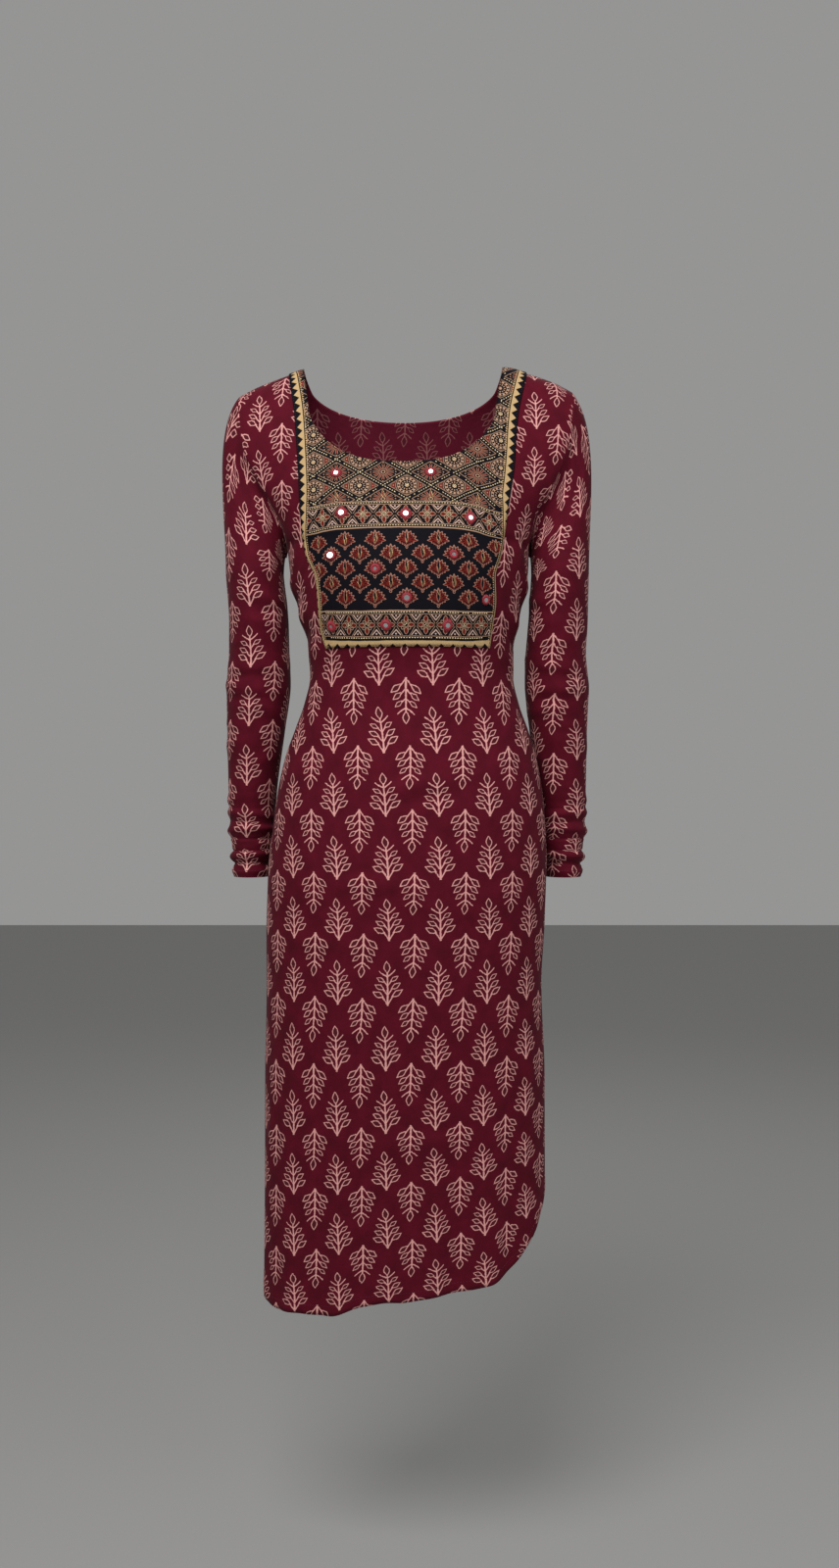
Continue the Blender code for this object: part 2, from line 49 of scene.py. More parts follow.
FLOOR_MIDDLE = (0, 2.0)
FLOOR_GREY = (0.36, 0.36, 0.355)
CAMERA_PLACE = (0.0165, -2.0, -0.4956)
CAMERA_LENS = 38.14
SENSOR_HEIGHT = 36.0
SURROUND = (0.55, 0.545, 0.54)
SURROUND_STRENGTH = 0.55
LIGHTS = (
    # name, place, aim, width, watts, colour
    ("key_light", (-0.55, -1.75, 1.25), (0.0, 0.0, -0.35), 1.3, 50, (1.0, 0.98, 0.96)),
    ("fill_light", (1.6, -2.1, 0.3), (0.0, 0.0, -0.6), 1.7, 15, (0.96, 0.98, 1.0)),
    ("back_light", (0.4, 2.2, 1.4), (0.0, 0.0, -0.4), 1.8, 14, (1.0, 1.0, 1.0)),
)


def plain_finish(name, colour, roughness, metallic=0.0):
    """A material, and its shader, set to one colour and roughness."""
    material = bpy.data.materials.new(name)
    material.use_nodes = True
    shader = material.node_tree.nodes["Principled BSDF"]
    shader.inputs["Base Color"].default_value = (*colour, 1.0)
    shader.inputs["Roughness"].default_value = roughness
    shader.inputs["Metallic"].default_value = metallic
    return material, shader


def added(name, data):
    """A new object in the scene."""
    item = bpy.data.objects.new(name, data)
    bpy.context.scene.collection.objects.link(item)
    return item


def pointed_at(thing, place, aim):
    """Puts a light or the camera at a place, looking at another."""
    item = added(thing.name, thing)
    item.location = place
    way = np.array(aim, float) - np.array(place, float)
    level = math.hypot(way[0], way[1])
    item.rotation_euler = (math.atan2(level, -way[2]), 0.0, math.atan2(-way[0], way[1]))
    return item


bpy.ops.mesh.primitive_plane_add(size=FLOOR_SIZE, location=(*FLOOR_MIDDLE, -FLOOR_DROP))
floor = bpy.context.active_object
floor.name = "floor"
floor.data.materials.append(plain_finish("pale_floor", FLOOR_GREY, 0.7)[0])

for name, place, aim, width, watts, colour in LIGHTS:
    light = bpy.data.lights.new(name, "AREA")
    light.size = width
    light.energy = watts
    light.color = colour
    pointed_at(light, place, aim)

world = bpy.data.worlds.new("surround")
world.use_nodes = True
world.node_tree.nodes["Background"].inputs["Color"].default_value = (*SURROUND, 1.0)
world.node_tree.nodes["Background"].inputs["Strength"].default_value = SURROUND_STRENGTH
bpy.context.scene.world = world
bpy.context.scene.view_settings.view_transform = "Standard"

lens = bpy.data.cameras.new("camera")
lens.sensor_fit = "VERTICAL"
lens.sensor_height = SENSOR_HEIGHT
lens.lens = CAMERA_LENS
x, y, z = CAMERA_PLACE
bpy.context.scene.camera = pointed_at(lens, CAMERA_PLACE, (x, y + 1.0, z))

# Front: one panel of thin maroon cotton from the shoulders to the hem, cut in at the armholes and
# scooped at the neck. It is sewn to the back at the shoulders and sides, with a turned hem.
CLOTH = 0.0018
SEAM_GAP = 0.0004
RIGHT_ANGLE = math.pi / 2
ARMHOLE_BOTTOM = 0.215
YOKE_BOTTOM = 0.338
NECK_CENTRE = -0.003
NECK_HALF_WIDTH = 0.1185
FRONT_NECK = (0.1235, 2.55)  # its depth, and how square it is: 2 is a plain oval scoop
ARMPIT_SHARE = 0.6  # of the way that the columns take to spread out below the neck
ARMHOLE_ROWS = 44
WAIST_ROWS = 32
FRONT_SKIRT_ROWS = 150
SIDE_COLUMNS = 22
STRAP_COLUMNS = 8
NECK_COLUMNS = 56

BODY = (
    # drop, centre, half_width
    (0.000, 0.000, 0.199),
    (0.032, 0.000, 0.199),
    (0.065, 0.000, 0.196),
    (0.100, 0.000, 0.191),
    (0.139, 0.001, 0.175),
    (0.165, 0.001, 0.160),
    (0.190, 0.002, 0.149),
    (0.215, 0.003, 0.145),
    (0.240, 0.004, 0.143),
    (0.294, 0.005, 0.132),
    (0.326, 0.006, 0.124),
    (0.366, 0.007, 0.122),
    (0.400, 0.007, 0.129),
    (0.428, 0.007, 0.139),
    (0.465, 0.006, 0.151),
    (0.510, 0.005, 0.1595),
    (0.555, 0.004, 0.164),
    (0.598, 0.002, 0.167),
    (0.656, 0.000, 0.167),
    (0.734, -0.002, 0.165),
    (0.850, -0.001, 0.168),
    (0.968, -0.001, 0.168),
    (1.120, -0.001, 0.169),
)
# How far the front stands from the mid-plane at its middle and edges, and how square its section is
FRONT = (
    # drop, middle, edge, power
    (0.000, 0.010, 0.010, 1.6),
    (0.008, 0.027, 0.022, 1.6),
    (0.022, 0.042, 0.032, 1.6),
    (0.050, 0.058, 0.040, 1.6),
    (0.090, 0.072, 0.045, 1.5),
    (0.125, 0.083, 0.044, 1.4),
    (0.155, 0.094, 0.040, 1.25),
    (0.185, 0.105, 0.031, 1.1),
    (0.203, 0.110, 0.019, 1.0),
    (0.215, 0.113, 0.000, 0.95),
    (0.245, 0.118, 0.000, 0.90),
    (0.290, 0.115, 0.000, 0.90),
    (0.326, 0.107, 0.000, 0.92),
    (0.366, 0.098, 0.000, 0.95),
    (0.400, 0.097, 0.000, 0.95),
    (0.428, 0.100, 0.000, 0.95),
    (0.465, 0.106, 0.000, 0.92),
    (0.510, 0.112, 0.000, 0.90),
    (0.598, 0.115, 0.000, 0.90),
    (0.656, 0.112, 0.000, 0.90),
    (0.734, 0.108, 0.000, 0.92),
    (0.850, 0.100, 0.000, 0.95),
    (0.968, 0.092, 0.005, 1.00),
    (1.120, 0.084, 0.009, 1.00),
)
SHOULDER = (
    # out, left_drop, right_drop
    (0.000, -0.004, -0.004),
    (0.1185, 0.000, -0.002),
    (0.146, 0.0085, 0.0045),
    (0.179, 0.0215, 0.0160),
    (0.199, 0.032, 0.0265),
)
YOKE_EDGES = (
    # drop, left, right
    (0.008, -0.139, 0.144),
    (0.066, -0.1295, 0.1315),
    (0.130, -0.1245, 0.126),
    (0.190, -0.1206, 0.1165),
    (0.230, -0.1146, 0.1105),
    (0.257, -0.1030, 0.1030),
    (0.284, -0.1005, 0.1040),
    (0.312, -0.0989, 0.1005),
    (0.338, -0.0915, 0.0970),
)
FRONT_HEM = (
    # turn in degrees, drop
    (-90, 1.088),
    (-82, 1.105),
    (-57, 1.1138),
    (-32, 1.1130),
    (-16, 1.0990),
    (5, 1.0910),
    (22, 1.0830),
    (36, 1.0780),
    (47, 1.0620),
    (57, 1.0430),
    (67, 1.0190),
    (78, 0.9950),
    (90, 0.9750),
)
# The folds of the solid, then the finer creases of the cloth. A height below nothing is a trough.
FRONT_FOLDS = (
    # turn in degrees, drop, slope in degrees, half_length, half_width, height
    (2, 0.497, 11, 0.055, 0.010, 0.0028),
    (-20, 0.470, -8, 0.040, 0.011, 0.0018),
    (-12, 0.612, -4, 0.060, 0.013, 0.0022),
    (20, 0.640, 3, 0.050, 0.014, 0.0016),
    (8, 0.905, 3, 0.070, 0.014, 0.0018),
    (80, 0.262, -18, 0.026, 0.010, 0.0042),
    (76, 0.306, -14, 0.028, 0.010, 0.0036),
    (70, 0.352, -10, 0.030, 0.010, 0.0026),
    (-80, 0.258, 18, 0.026, 0.010, 0.0038),
    (-76, 0.296, 16, 0.028, 0.010, 0.0034),
    (-70, 0.340, 12, 0.030, 0.011, 0.0026),
    (-66, 0.226, 42, 0.026, 0.009, 0.0024),
    (64, 0.224, -42, 0.026, 0.009, 0.0024),
)
FRONT_CREASES = (
    # turn in degrees, drop, slope in degrees, half_length, half_width, height
    (10, 0.511, 13, 0.046, 0.0050, -0.0013),
    (-2, 0.484, 9, 0.040, 0.0045, -0.0010),
    (-34, 0.452, -16, 0.036, 0.0050, 0.0013),
    (44, 0.470, 18, 0.040, 0.0055, 0.0014),
    (-52, 0.430, -24, 0.034, 0.0050, 0.0013),
    (60, 0.424, 26, 0.032, 0.0050, 0.0013),
    (-14, 0.596, -3, 0.050, 0.0050, -0.0011),
    (-6, 0.632, -5, 0.044, 0.0045, 0.0010),
    (34, 0.622, 8, 0.040, 0.0060, 0.0011),
    (-40, 0.680, -6, 0.046, 0.0070, 0.0010),
    (14, 0.892, 4, 0.060, 0.0050, -0.0008),
    (-26, 0.780, -3, 0.050, 0.0080, 0.0009),
    (46, 0.930, 12, 0.050, 0.0080, 0.0012),
    (82, 0.283, -16, 0.022, 0.0045, -0.0021),
    (78, 0.327, -12, 0.024, 0.0045, -0.0018),
    (-82, 0.277, 16, 0.022, 0.0045, -0.0019),
    (-78, 0.318, 14, 0.024, 0.0045, -0.0017),
    (66, 0.392, 4, 0.026, 0.0050, 0.0014),
    (-64, 0.384, -4, 0.026, 0.0050, 0.0013),
    (58, 0.246, -38, 0.022, 0.0040, -0.0012),
    (-60, 0.250, 38, 0.022, 0.0040, -0.0012),
    (-62, 0.100, 64, 0.030, 0.0060, 0.0010),
    (60, 0.105, -62, 0.030, 0.0060, 0.0011),
    (76, 0.560, 20, 0.030, 0.0060, 0.0014),
    (-78, 0.572, -18, 0.030, 0.0060, 0.0014),
    (-70, 0.900, 80, 0.060, 0.0100, 0.0016),
    (60, 0.860, 84, 0.070, 0.0110, 0.0016),
    (-44, 1.000, 78, 0.060, 0.0120, 0.0014),
)
FRONT_RELIEF = FRONT_FOLDS + FRONT_CREASES
FRONT_CLOTH = (FRONT, -1, FRONT_RELIEF, FRONT_HEM)  # its section, side, relief and hem
HEM_TURN = 0.012  # how much cloth is turned under at the hem
HEM_SWELL = 0.0003  # how much prouder the doubled cloth stands
HEM_STEP = 0.001  # how far the swell takes to rise
HEM_WAVES = ((1.9, 0.4, 0.0022), (4.3, 2.0, 0.0012))  # cycles a radian, phase, height
HEM_WAVE_REACH = 0.30  # how far up the skirt the hem's waves die out
CLOTH_PER_RADIAN = 0.14  # metres of cloth for each radian of turn, near enough for the folds
PATH_STEPS = 25  # places at which a length of cloth is measured

# Where the print lies: each row's foot at the middle, the columns near the middle, and how far the
# rows rise towards the right by the hem
PRINT_ROWS = (
    # drop, row
    (0.2000, -1.23),
    (0.3045, 0.0),
    (0.3825, 1.0),
    (0.4606, 2.0),
    (0.5327, 3.0),
    (0.6046, 4.0),
    (0.6742, 5.0),
    (0.7485, 6.0),
    (0.8241, 7.0),
    (0.8967, 8.0),
    (0.9630, 9.0),
    (1.0314, 10.0),
    (1.0945, 11.0),
    (1.1665, 12.0),
)
PRINT_COLUMNS = (
    # drop, across, spacing
    (0.000, -0.0085, 0.0545),
    (0.120, -0.0095, 0.0545),
    (0.300, -0.0285, 0.0615),
    (0.380, -0.0300, 0.0625),
    (0.460, -0.024, 0.0606),
    (0.530, -0.022, 0.0610),
    (0.600, -0.019, 0.0597),
    (0.670, -0.018, 0.0588),
    (0.750, -0.020, 0.0582),
    (0.820, -0.022, 0.0578),
    (0.900, -0.022, 0.0570),
    (1.090, -0.019, 0.0570),
)
PRINT_LIFTS = (
    # turn in degrees, lift
    (-90, 0.022),
    (-45, 0.0165),
    (-8, 0.000),
    (12, -0.0095),
    (35, -0.0165),
    (52, -0.030),
    (90, -0.055),
)
PRINT_LIFT_FROM = 0.75
PRINT_LIFT_FULL = 1.09
PRINT_CHEST = 0.200  # above this drop the rows are counted along the cloth
CHEST_ROW = 0.0720


def smooth_curve(table, column, at):
    """A column of a table read as a curve of its first column that never overshoots its rows."""
    rows = np.array(table, float)
    places, values = rows[:, 0], rows[:, column]
    steps = np.diff(values) / np.diff(places)
    slopes = np.zeros(len(values))
    slopes[0], slopes[-1] = steps[0], steps[-1]
    before, after = steps[:-1], steps[1:]
    rising = before * after > 0
    slopes[1:-1][rising] = 2 * before[rising] * after[rising] / (before + after)[rising]
    at = np.clip(at, places[0], places[-1])
    row = np.clip(np.searchsorted(places, at) - 1, 0, len(places) - 2)
    span = places[row + 1] - places[row]
    share = (at - places[row]) / span
    left = 1 - share
    return (
        left**2 * (1 + 2 * share) * values[row]
        + share**2 * (1 + 2 * left) * values[row + 1]
        + share * left * span * (left * slopes[row] - share * slopes[row + 1])
    )


def unit(vectors):
    return vectors / np.linalg.norm(vectors, axis=-1, keepdims=True)


def shoulder_drop(x):
    """The drop of the shoulder line at a place across."""
    return np.where(x < 0, smooth_curve(SHOULDER, 1, -x), smooth_curve(SHOULDER, 2, x))


def below_shoulder(x, drop):
    """The drop measured from the shoulder line over the chest, and from the origin below it."""
    line = shoulder_drop(x)
    return np.where(drop < ARMHOLE_BOTTOM, (drop - line) * ARMHOLE_BOTTOM / (ARMHOLE_BOTTOM - line), drop)


BACK_RIDGE_RISE = 0.004  # how far the back panel stands over the shoulder seam
BACK_RIDGE_DROP = 0.02


def panel_point(panel, side, turn, drop):
    """Where a turn and a drop lie on the front, side -1, or on the back, side 1, before its folds."""
    x = smooth_curve(BODY, 1, drop) + smooth_curve(BODY, 2, drop) * np.sin(turn)
    level = below_shoulder(x, drop)
    middle = smooth_curve(panel, 1, level)
    edge = smooth_curve(panel, 2, level)
    power = smooth_curve(panel, 3, level)
    depth = edge + (middle - edge) * np.clip(np.cos(turn), 0, 1) ** power
    rise = 0.0
    if side > 0:
        rise = BACK_RIDGE_RISE * np.sin(np.pi * np.clip(level / BACK_RIDGE_DROP, 0, 1))
    return np.stack([x, side * (depth + SEAM_GAP / 2), rise - drop], axis=-1)


def fold_height(folds, turn, drop):
    """How far the folds lift the cloth out of its plain form."""
    height = np.zeros(np.shape(turn))
    for fold_turn, fold_drop, slope, half_length, half_width, fold in folds:
        across = (turn - math.radians(fold_turn)) * CLOTH_PER_RADIAN
        up = fold_drop - drop
        tilt = math.radians(slope)
        along = (across * math.cos(tilt) + up * math.sin(tilt)) / half_length
        beside = (up * math.cos(tilt) - across * math.sin(tilt)) / half_width
        height = height + fold * np.exp(-(along**2) - beside**2)
    return height


def panel_surface(panel, side, folds, turn, drop):
    """The points of a panel, folds included, and the way that its cloth faces there."""
    small_turn, small_drop = 0.01, 0.001
    inset = np.clip(turn, small_turn - RIGHT_ANGLE, RIGHT_ANGLE - small_turn)
    one_way, other_way = (panel_point(panel, side, inset + by, drop) for by in (small_turn, -small_turn))
    down = panel_point(panel, side, inset, drop + small_drop) - panel_point(panel, side, inset, drop)
    facing = unit(np.cross(one_way - other_way, down) * side)
    points = panel_point(panel, side, turn, drop)
    on_side_seam = (np.abs(turn) > RIGHT_ANGLE - 1e-6) & (drop >= ARMHOLE_BOTTOM - 1e-6)
    on_shoulder_seam = below_shoulder(points[..., 0], drop) < 1e-5
    facing[on_side_seam | on_shoulder_seam, 1] = 0
    facing = unit(facing)
    return points + facing * fold_height(folds, turn, drop)[..., None], facing


def scoop(depth, squareness, strips):
    """A neckline as places across and drops, from the -X shoulder to the +X shoulder."""
    angles = np.linspace(0, np.pi, strips + 1)
    along = np.cos(angles)
    across = NECK_CENTRE - NECK_HALF_WIDTH * np.sign(along) * np.abs(along) ** (2 / squareness)
    ends = shoulder_drop(NECK_CENTRE - NECK_HALF_WIDTH * np.sign(along))
    return across, ends + (depth - ends) * np.sin(angles).clip(0) ** (2 / squareness)


def turn_at(x, drop):
    """The turn at which a panel passes a place across."""
    share = (x - smooth_curve(BODY, 1, drop)) / smooth_curve(BODY, 2, drop)
    return np.arcsin(np.clip(share, -1, 1))


def shoulder_columns(turns):
    """The drops at which columns end on the shoulder seam, from their turns there."""
    return shoulder_drop(smooth_curve(BODY, 2, 0.0) * np.sin(turns))


def eased(count):
    """Shares from 0 to 1 that lie closer together at both ends."""
    share = np.linspace(0, 1, count + 1)
    return 0.5 * share + 0.25 * (1 - np.cos(np.pi * share))


def by_turn(table, turn):
    """A table of turns in degrees and values, such as a hem's drops, read as a curve."""
    rows = np.array(table, float)
    rows[:, 0] = np.radians(rows[:, 0])
    return smooth_curve(rows, 1, turn)


def grid_of(top_turns, top_drops, foot_turns, hem, skirt_rows, edges=None):
    """Turns and drops of a panel's grid: rows run from its top edge to its hem, columns along +X."""
    shares = eased(ARMHOLE_ROWS)[:, None]
    waist_shares = np.linspace(0, 1, WAIST_ROWS + 1)[1:, None]
    chest = top_drops + (ARMHOLE_BOTTOM - top_drops) * shares
    waist = ARMHOLE_BOTTOM + (YOKE_BOTTOM - ARMHOLE_BOTTOM) * waist_shares * np.ones_like(top_drops)
    drops = np.concatenate([chest, waist])
    spread = np.concatenate([ARMPIT_SHARE * shares, ARMPIT_SHARE + (1 - ARMPIT_SHARE) * waist_shares])
    turns = top_turns + (foot_turns - top_turns) * spread
    if edges:
        turns = turns + edge_shift(turns, drops, edges)
    share = np.linspace(0, 1, skirt_rows + 1)[1:, None]
    skirt_drops = YOKE_BOTTOM + (by_turn(hem, foot_turns) - YOKE_BOTTOM) * share
    skirt_turns = np.broadcast_to(foot_turns, skirt_drops.shape)
    return np.concatenate([turns, skirt_turns]), np.concatenate([drops, skirt_drops])


def edge_shift(turns, drops, edges):
    """Moves the columns so that two of them follow the yoke's long edges and the side ones stay."""
    left, right = edges
    shifts = []
    for column, table_column in ((left, 1), (right, 2)):
        wanted = turn_at(smooth_curve(YOKE_EDGES, table_column, drops[:, column]), drops[:, column])
        shifts.append(wanted - turns[:, column])
    count = turns.shape[1]
    at = np.arange(count)
    return np.array([np.interp(at, (0, left, right, count - 1), (0, a, b, 0)) for a, b in zip(*shifts)])


def front_grid():
    """The front's turns and drops, and the columns that are the yoke's edges."""
    across, neck_drops = scoop(*FRONT_NECK, NECK_COLUMNS)
    neck_turns = turn_at(across, neck_drops)
    width = smooth_curve(BODY, 2, 0.0)
    yoke_turns = [math.asin(YOKE_EDGES[0][1] / width), math.asin(YOKE_EDGES[0][2] / width)]
    side = eased(SIDE_COLUMNS)[:-1]
    strap = np.linspace(0, 1, STRAP_COLUMNS + 1)[:-1]
    left = np.concatenate([
        -RIGHT_ANGLE + (yoke_turns[0] + RIGHT_ANGLE) * side,
        yoke_turns[0] + (neck_turns[0] - yoke_turns[0]) * strap,
    ])
    right = np.concatenate([
        RIGHT_ANGLE + (yoke_turns[1] - RIGHT_ANGLE) * side,
        yoke_turns[1] + (neck_turns[-1] - yoke_turns[1]) * strap,
    ])[::-1]
    top_turns = np.concatenate([left, neck_turns, right])
    top_drops = np.concatenate([shoulder_columns(left), neck_drops, shoulder_columns(right)])
    foot = [turn_at(YOKE_EDGES[-1][column], YOKE_BOTTOM) for column in (1, 2)]
    yoke_columns = NECK_COLUMNS + 2 * STRAP_COLUMNS
    foot_turns = np.concatenate([
        -RIGHT_ANGLE + (foot[0] + RIGHT_ANGLE) * side,
        np.linspace(foot[0], foot[1], yoke_columns + 1),
        (RIGHT_ANGLE + (foot[1] - RIGHT_ANGLE) * side)[::-1],
    ])
    edges = (SIDE_COLUMNS, SIDE_COLUMNS + yoke_columns)
    return *grid_of(top_turns, top_drops, foot_turns, FRONT_HEM, FRONT_SKIRT_ROWS, edges), edges


def hemmed_surface(panel, side, folds, hem, turns, drops):
    """As panel_surface, with the doubled hem a little prouder and waving in and out."""
    points, facing = panel_surface(panel, side, folds, turns, drops)
    above = by_turn(hem, turns) - drops
    swell = HEM_SWELL * np.clip((HEM_TURN - above) / HEM_STEP, 0, 1)
    waves = sum(height * np.sin(cycles * 2 * np.pi * turns + phase) for cycles, phase, height in HEM_WAVES)
    sway = waves * np.clip(1 - above / HEM_WAVE_REACH, 0, 1) ** 2 * np.cos(turns)
    return points + facing * (swell + sway)[..., None], facing


def lengths_along(points, axis=0):
    """How far each point of a line or grid lies from the first one, measured from point to point."""
    steps = np.linalg.norm(np.diff(points, axis=axis), axis=-1)
    return np.insert(np.cumsum(steps, axis=axis), 0, 0.0, axis=axis)


def cloth_round(panel, side, turn, drop):
    """Metres of cloth from a panel's middle line to a turn, along one drop."""
    shares = np.linspace(0, 1, PATH_STEPS)[:, None, None]
    turns = turn * shares
    path = panel_point(panel, side, turns, np.broadcast_to(drop, turns.shape))
    return np.sign(turn) * np.linalg.norm(np.diff(path, axis=0), axis=-1).sum(axis=0)


def cloth_down(panel, side, turn, start, drop):
    """Metres of cloth between two drops, at one turn."""
    drops = start + (drop - start) * np.linspace(0, 1, PATH_STEPS)[:, None, None]
    path = panel_point(panel, side, np.broadcast_to(turn, drops.shape), drops)
    return np.linalg.norm(np.diff(path, axis=0), axis=-1).sum(axis=0)


def print_place(panel, side, turns, drops, shift=(0.0, 0.0)):
    """Where points lie on the print: columns along +X and rows upwards, counted from a sprig's foot."""
    across = smooth_curve(PRINT_COLUMNS, 1, drops)
    spacing = smooth_curve(PRINT_COLUMNS, 2, drops)
    start = cloth_round(panel, side, turn_at(across, drops), drops)
    column = (cloth_round(panel, side, turns, drops) - start) / spacing
    lift = by_turn(PRINT_LIFTS, turns)
    full = np.clip((drops - PRINT_LIFT_FROM) / (PRINT_LIFT_FULL - PRINT_LIFT_FROM), 0, 1)
    rows = np.array(PRINT_ROWS)
    row = np.interp(drops - lift * full, rows[:, 0], rows[:, 1])
    row = row - cloth_down(panel, side, turns, PRINT_CHEST, np.minimum(drops, PRINT_CHEST)) / CHEST_ROW
    return np.stack([column + shift[0], shift[1] - row], axis=-1)


def cloth_shell(name, outer, facing, thickness, material, uv_maps, flip=False, tube=False):
    """Thin cloth: a grid of points and the same grid moved inwards, joined along the open edges.

    A tube's columns close on themselves, and its UV maps have one column more. flip is for a grid
    whose rows and columns run the other way round, seen from outside.
    """
    rows, columns = outer.shape[:2]
    inner = outer - facing * thickness
    points = np.concatenate([outer.reshape(-1, 3), inner.reshape(-1, 3)])
    count = rows * columns
    strips = columns if tube else columns - 1
    row, column = np.indices((rows - 1, strips)).reshape(2, -1)
    corner_rows = np.stack([row, row, row + 1, row + 1], axis=1)
    corner_columns = np.stack([column, column + 1, column + 1, column], axis=1)
    quads = corner_rows * columns + corner_columns % columns
    faces = [quads[:, ::-1], quads + count]
    places = [(corner_rows[:, ::-1], corner_columns[:, ::-1]), (corner_rows, corner_columns)]
    rims = [(0, np.arange(strips + 1), 1), (rows - 1, np.arange(strips + 1), -1)]
    if not tube:
        rims += [(np.arange(rows), 0, -1), (np.arange(rows), columns - 1, 1)]
    for rim_rows, rim_columns, way in rims:
        line = np.stack(np.broadcast_arrays(rim_rows, rim_columns))
        a, b = (line[:, :-1], line[:, 1:])[::way]
        at_rows, at_columns = np.stack([a, b, b, a], axis=-1)
        faces.append(at_rows * columns + at_columns % columns + [0, 0, count, count])
        places.append((at_rows, at_columns))
    faces = np.concatenate(faces)
    place_rows, place_columns = (np.concatenate(part) for part in zip(*places))
    if flip:
        faces, place_rows, place_columns = (part[:, ::-1] for part in (faces, place_rows, place_columns))
    mesh = bpy.data.meshes.new(name)
    mesh.from_pydata(points.tolist(), [], faces.tolist())
    for map_name, places_on_map in uv_maps.items():
        layer = mesh.uv_layers.new(name=map_name)
        layer.data.foreach_set("uv", places_on_map[place_rows, place_columns].astype(np.float32).ravel())
    reverse = mesh.attributes.new("reverse", "FLOAT", "FACE")
    inner_quads = np.arange(len(faces)) // len(quads) == 1
    reverse.data.foreach_set("value", inner_quads.astype(np.float32))
    mesh.materials.append(material)
    mesh.shade_smooth()
    mesh.update()
    return added(name, mesh)


FAR = 99.0  # millimetres, past everything that is printed


class Signal:
    """A number that changes over the cloth. Sums with it add maths nodes to its node tree."""

    def __init__(self, tree, socket):
        self.tree = tree
        self.socket = socket

    def __add__(self, other):
        return maths("ADD", self, other)

    def __sub__(self, other):
        return maths("SUBTRACT", self, other)

    def __rsub__(self, other):
        return maths("SUBTRACT", other, self)

    def __mul__(self, other):
        return maths("MULTIPLY", self, other)

    __rmul__ = __mul__

    def __truediv__(self, other):
        return maths("DIVIDE", self, other)

    def __abs__(self):
        return maths("ABSOLUTE", self)

    def clip(self, low, high):
        return maths("MINIMUM", maths("MAXIMUM", self, low), high)

    def within(self, soft):
        """1 where the signal is below nothing and 0 where it is above, with a soft edge that wide."""
        node = self.tree.nodes.new("ShaderNodeMapRange")
        node.interpolation_type = "SMOOTHSTEP"
        node.inputs["From Min"].default_value = soft
        node.inputs["From Max"].default_value = -soft
        self.tree.links.new(self.socket, node.inputs["Value"])
        return Signal(self.tree, node.outputs["Result"])


def maths(operation, *values):
    """The signal of a maths node that takes these signals and numbers."""
    tree = next(value.tree for value in values if isinstance(value, Signal))
    node = tree.nodes.new("ShaderNodeMath")
    node.operation = operation
    for socket, value in zip(node.inputs, values):
        if isinstance(value, Signal):
            tree.links.new(value.socket, socket)
        else:
            socket.default_value = value
    return Signal(tree, node.outputs[0])


def nearest(*signals):
    """The lowest of several signals."""
    least = signals[0]
    for signal in signals[1:]:
        least = maths("MINIMUM", least, signal)
    return least


def distance(x, y):
    return maths("SQRT", x * x + y * y)


def stroke(x, y, start, end, half_width):
    """How far outside a straight stroke with round ends a place is."""
    run, rise = end[0] - start[0], end[1] - start[1]
    x, y = x - start[0], y - start[1]
    share = ((x * run + y * rise) / (run * run + rise * rise)).clip(0, 1)
    return distance(x - share * run, y - share * rise) - half_width


def leaf(x, y, half_length, half_width, fullness=2.0):
    """How far outside a leaf with two pointed ends a place is. It lies along x; fullness 1 is a diamond."""
    along = maths("POWER", abs(x) / half_length, fullness)
    return abs(y) - half_width * (1 - along)


def node_group(name, inputs, outputs):
    """A new shader node group with its own inputs and outputs: its tree, input node and output node."""
    tree = bpy.data.node_groups.new(name, "ShaderNodeTree")
    for socket_name, kind in inputs.items():
        tree.interface.new_socket(socket_name, in_out="INPUT", socket_type=kind)
    for socket_name, kind in outputs.items():
        tree.interface.new_socket(socket_name, in_out="OUTPUT", socket_type=kind)
    return tree, tree.nodes.new("NodeGroupInput"), tree.nodes.new("NodeGroupOutput")


def place_group(tree, group, **values):
    """A node that uses a group, its inputs linked to signals and sockets or set to numbers."""
    node = tree.nodes.new("ShaderNodeGroup")
    node.node_tree = group
    for name, value in values.items():
        socket = node.inputs[name]
        if isinstance(value, Signal):
            tree.links.new(value.socket, socket)
        elif isinstance(value, bpy.types.NodeSocket):
            tree.links.new(value, socket)
        else:
            socket.default_value = value
    return node


def give(tree, result, **signals):
    """Links signals to a group's outputs."""
    for name, signal in signals.items():
        tree.links.new(signal.socket, result.inputs[name])


def split(tree, vector):
    """The first two numbers of a vector socket, as signals."""
    node = tree.nodes.new("ShaderNodeSeparateXYZ")
    tree.links.new(vector, node.inputs["Vector"])
    return Signal(tree, node.outputs["X"]), Signal(tree, node.outputs["Y"])


FLOAT, VECTOR, COLOUR = "NodeSocketFloat", "NodeSocketVector", "NodeSocketColor"
# A sprig in millimetres. Its pairs of leaves are numbered from the lowest, 0, and where a size has two
# numbers, the second is how much it changes with each pair.
LAST_PAIR = 2
SPRIG_BEND = 0.0011
LEAF_SIZE = (6.6, 2.9, 1.35)  # half_length, half_width, fullness
LEAF_SHIFT = 0.2
LEAF_SCALE = (1.04, 0.14)
LEAF_OUT = (10.9, 1.5)
LEAF_RISE = 8.2
LEAF_SPACING = 8.9  # between the lines that share the places out among the pairs
BRANCH_FOOT = (1.0, 10.7)
BRANCH_OUT = (6.2, 0.9)
BRANCH_TIP = (2.7, 8.4)  # the first is how far below its leaf's foot the lowest branch ends
BRANCH_HALF_WIDTH = 0.66
TOP_BRANCH = ((0.0, 32.5), (8.8, 36.4), 0.70)  # start, end, half_width
TOP_BRANCH_BEND = -0.03
STEM_TOP = 37.0
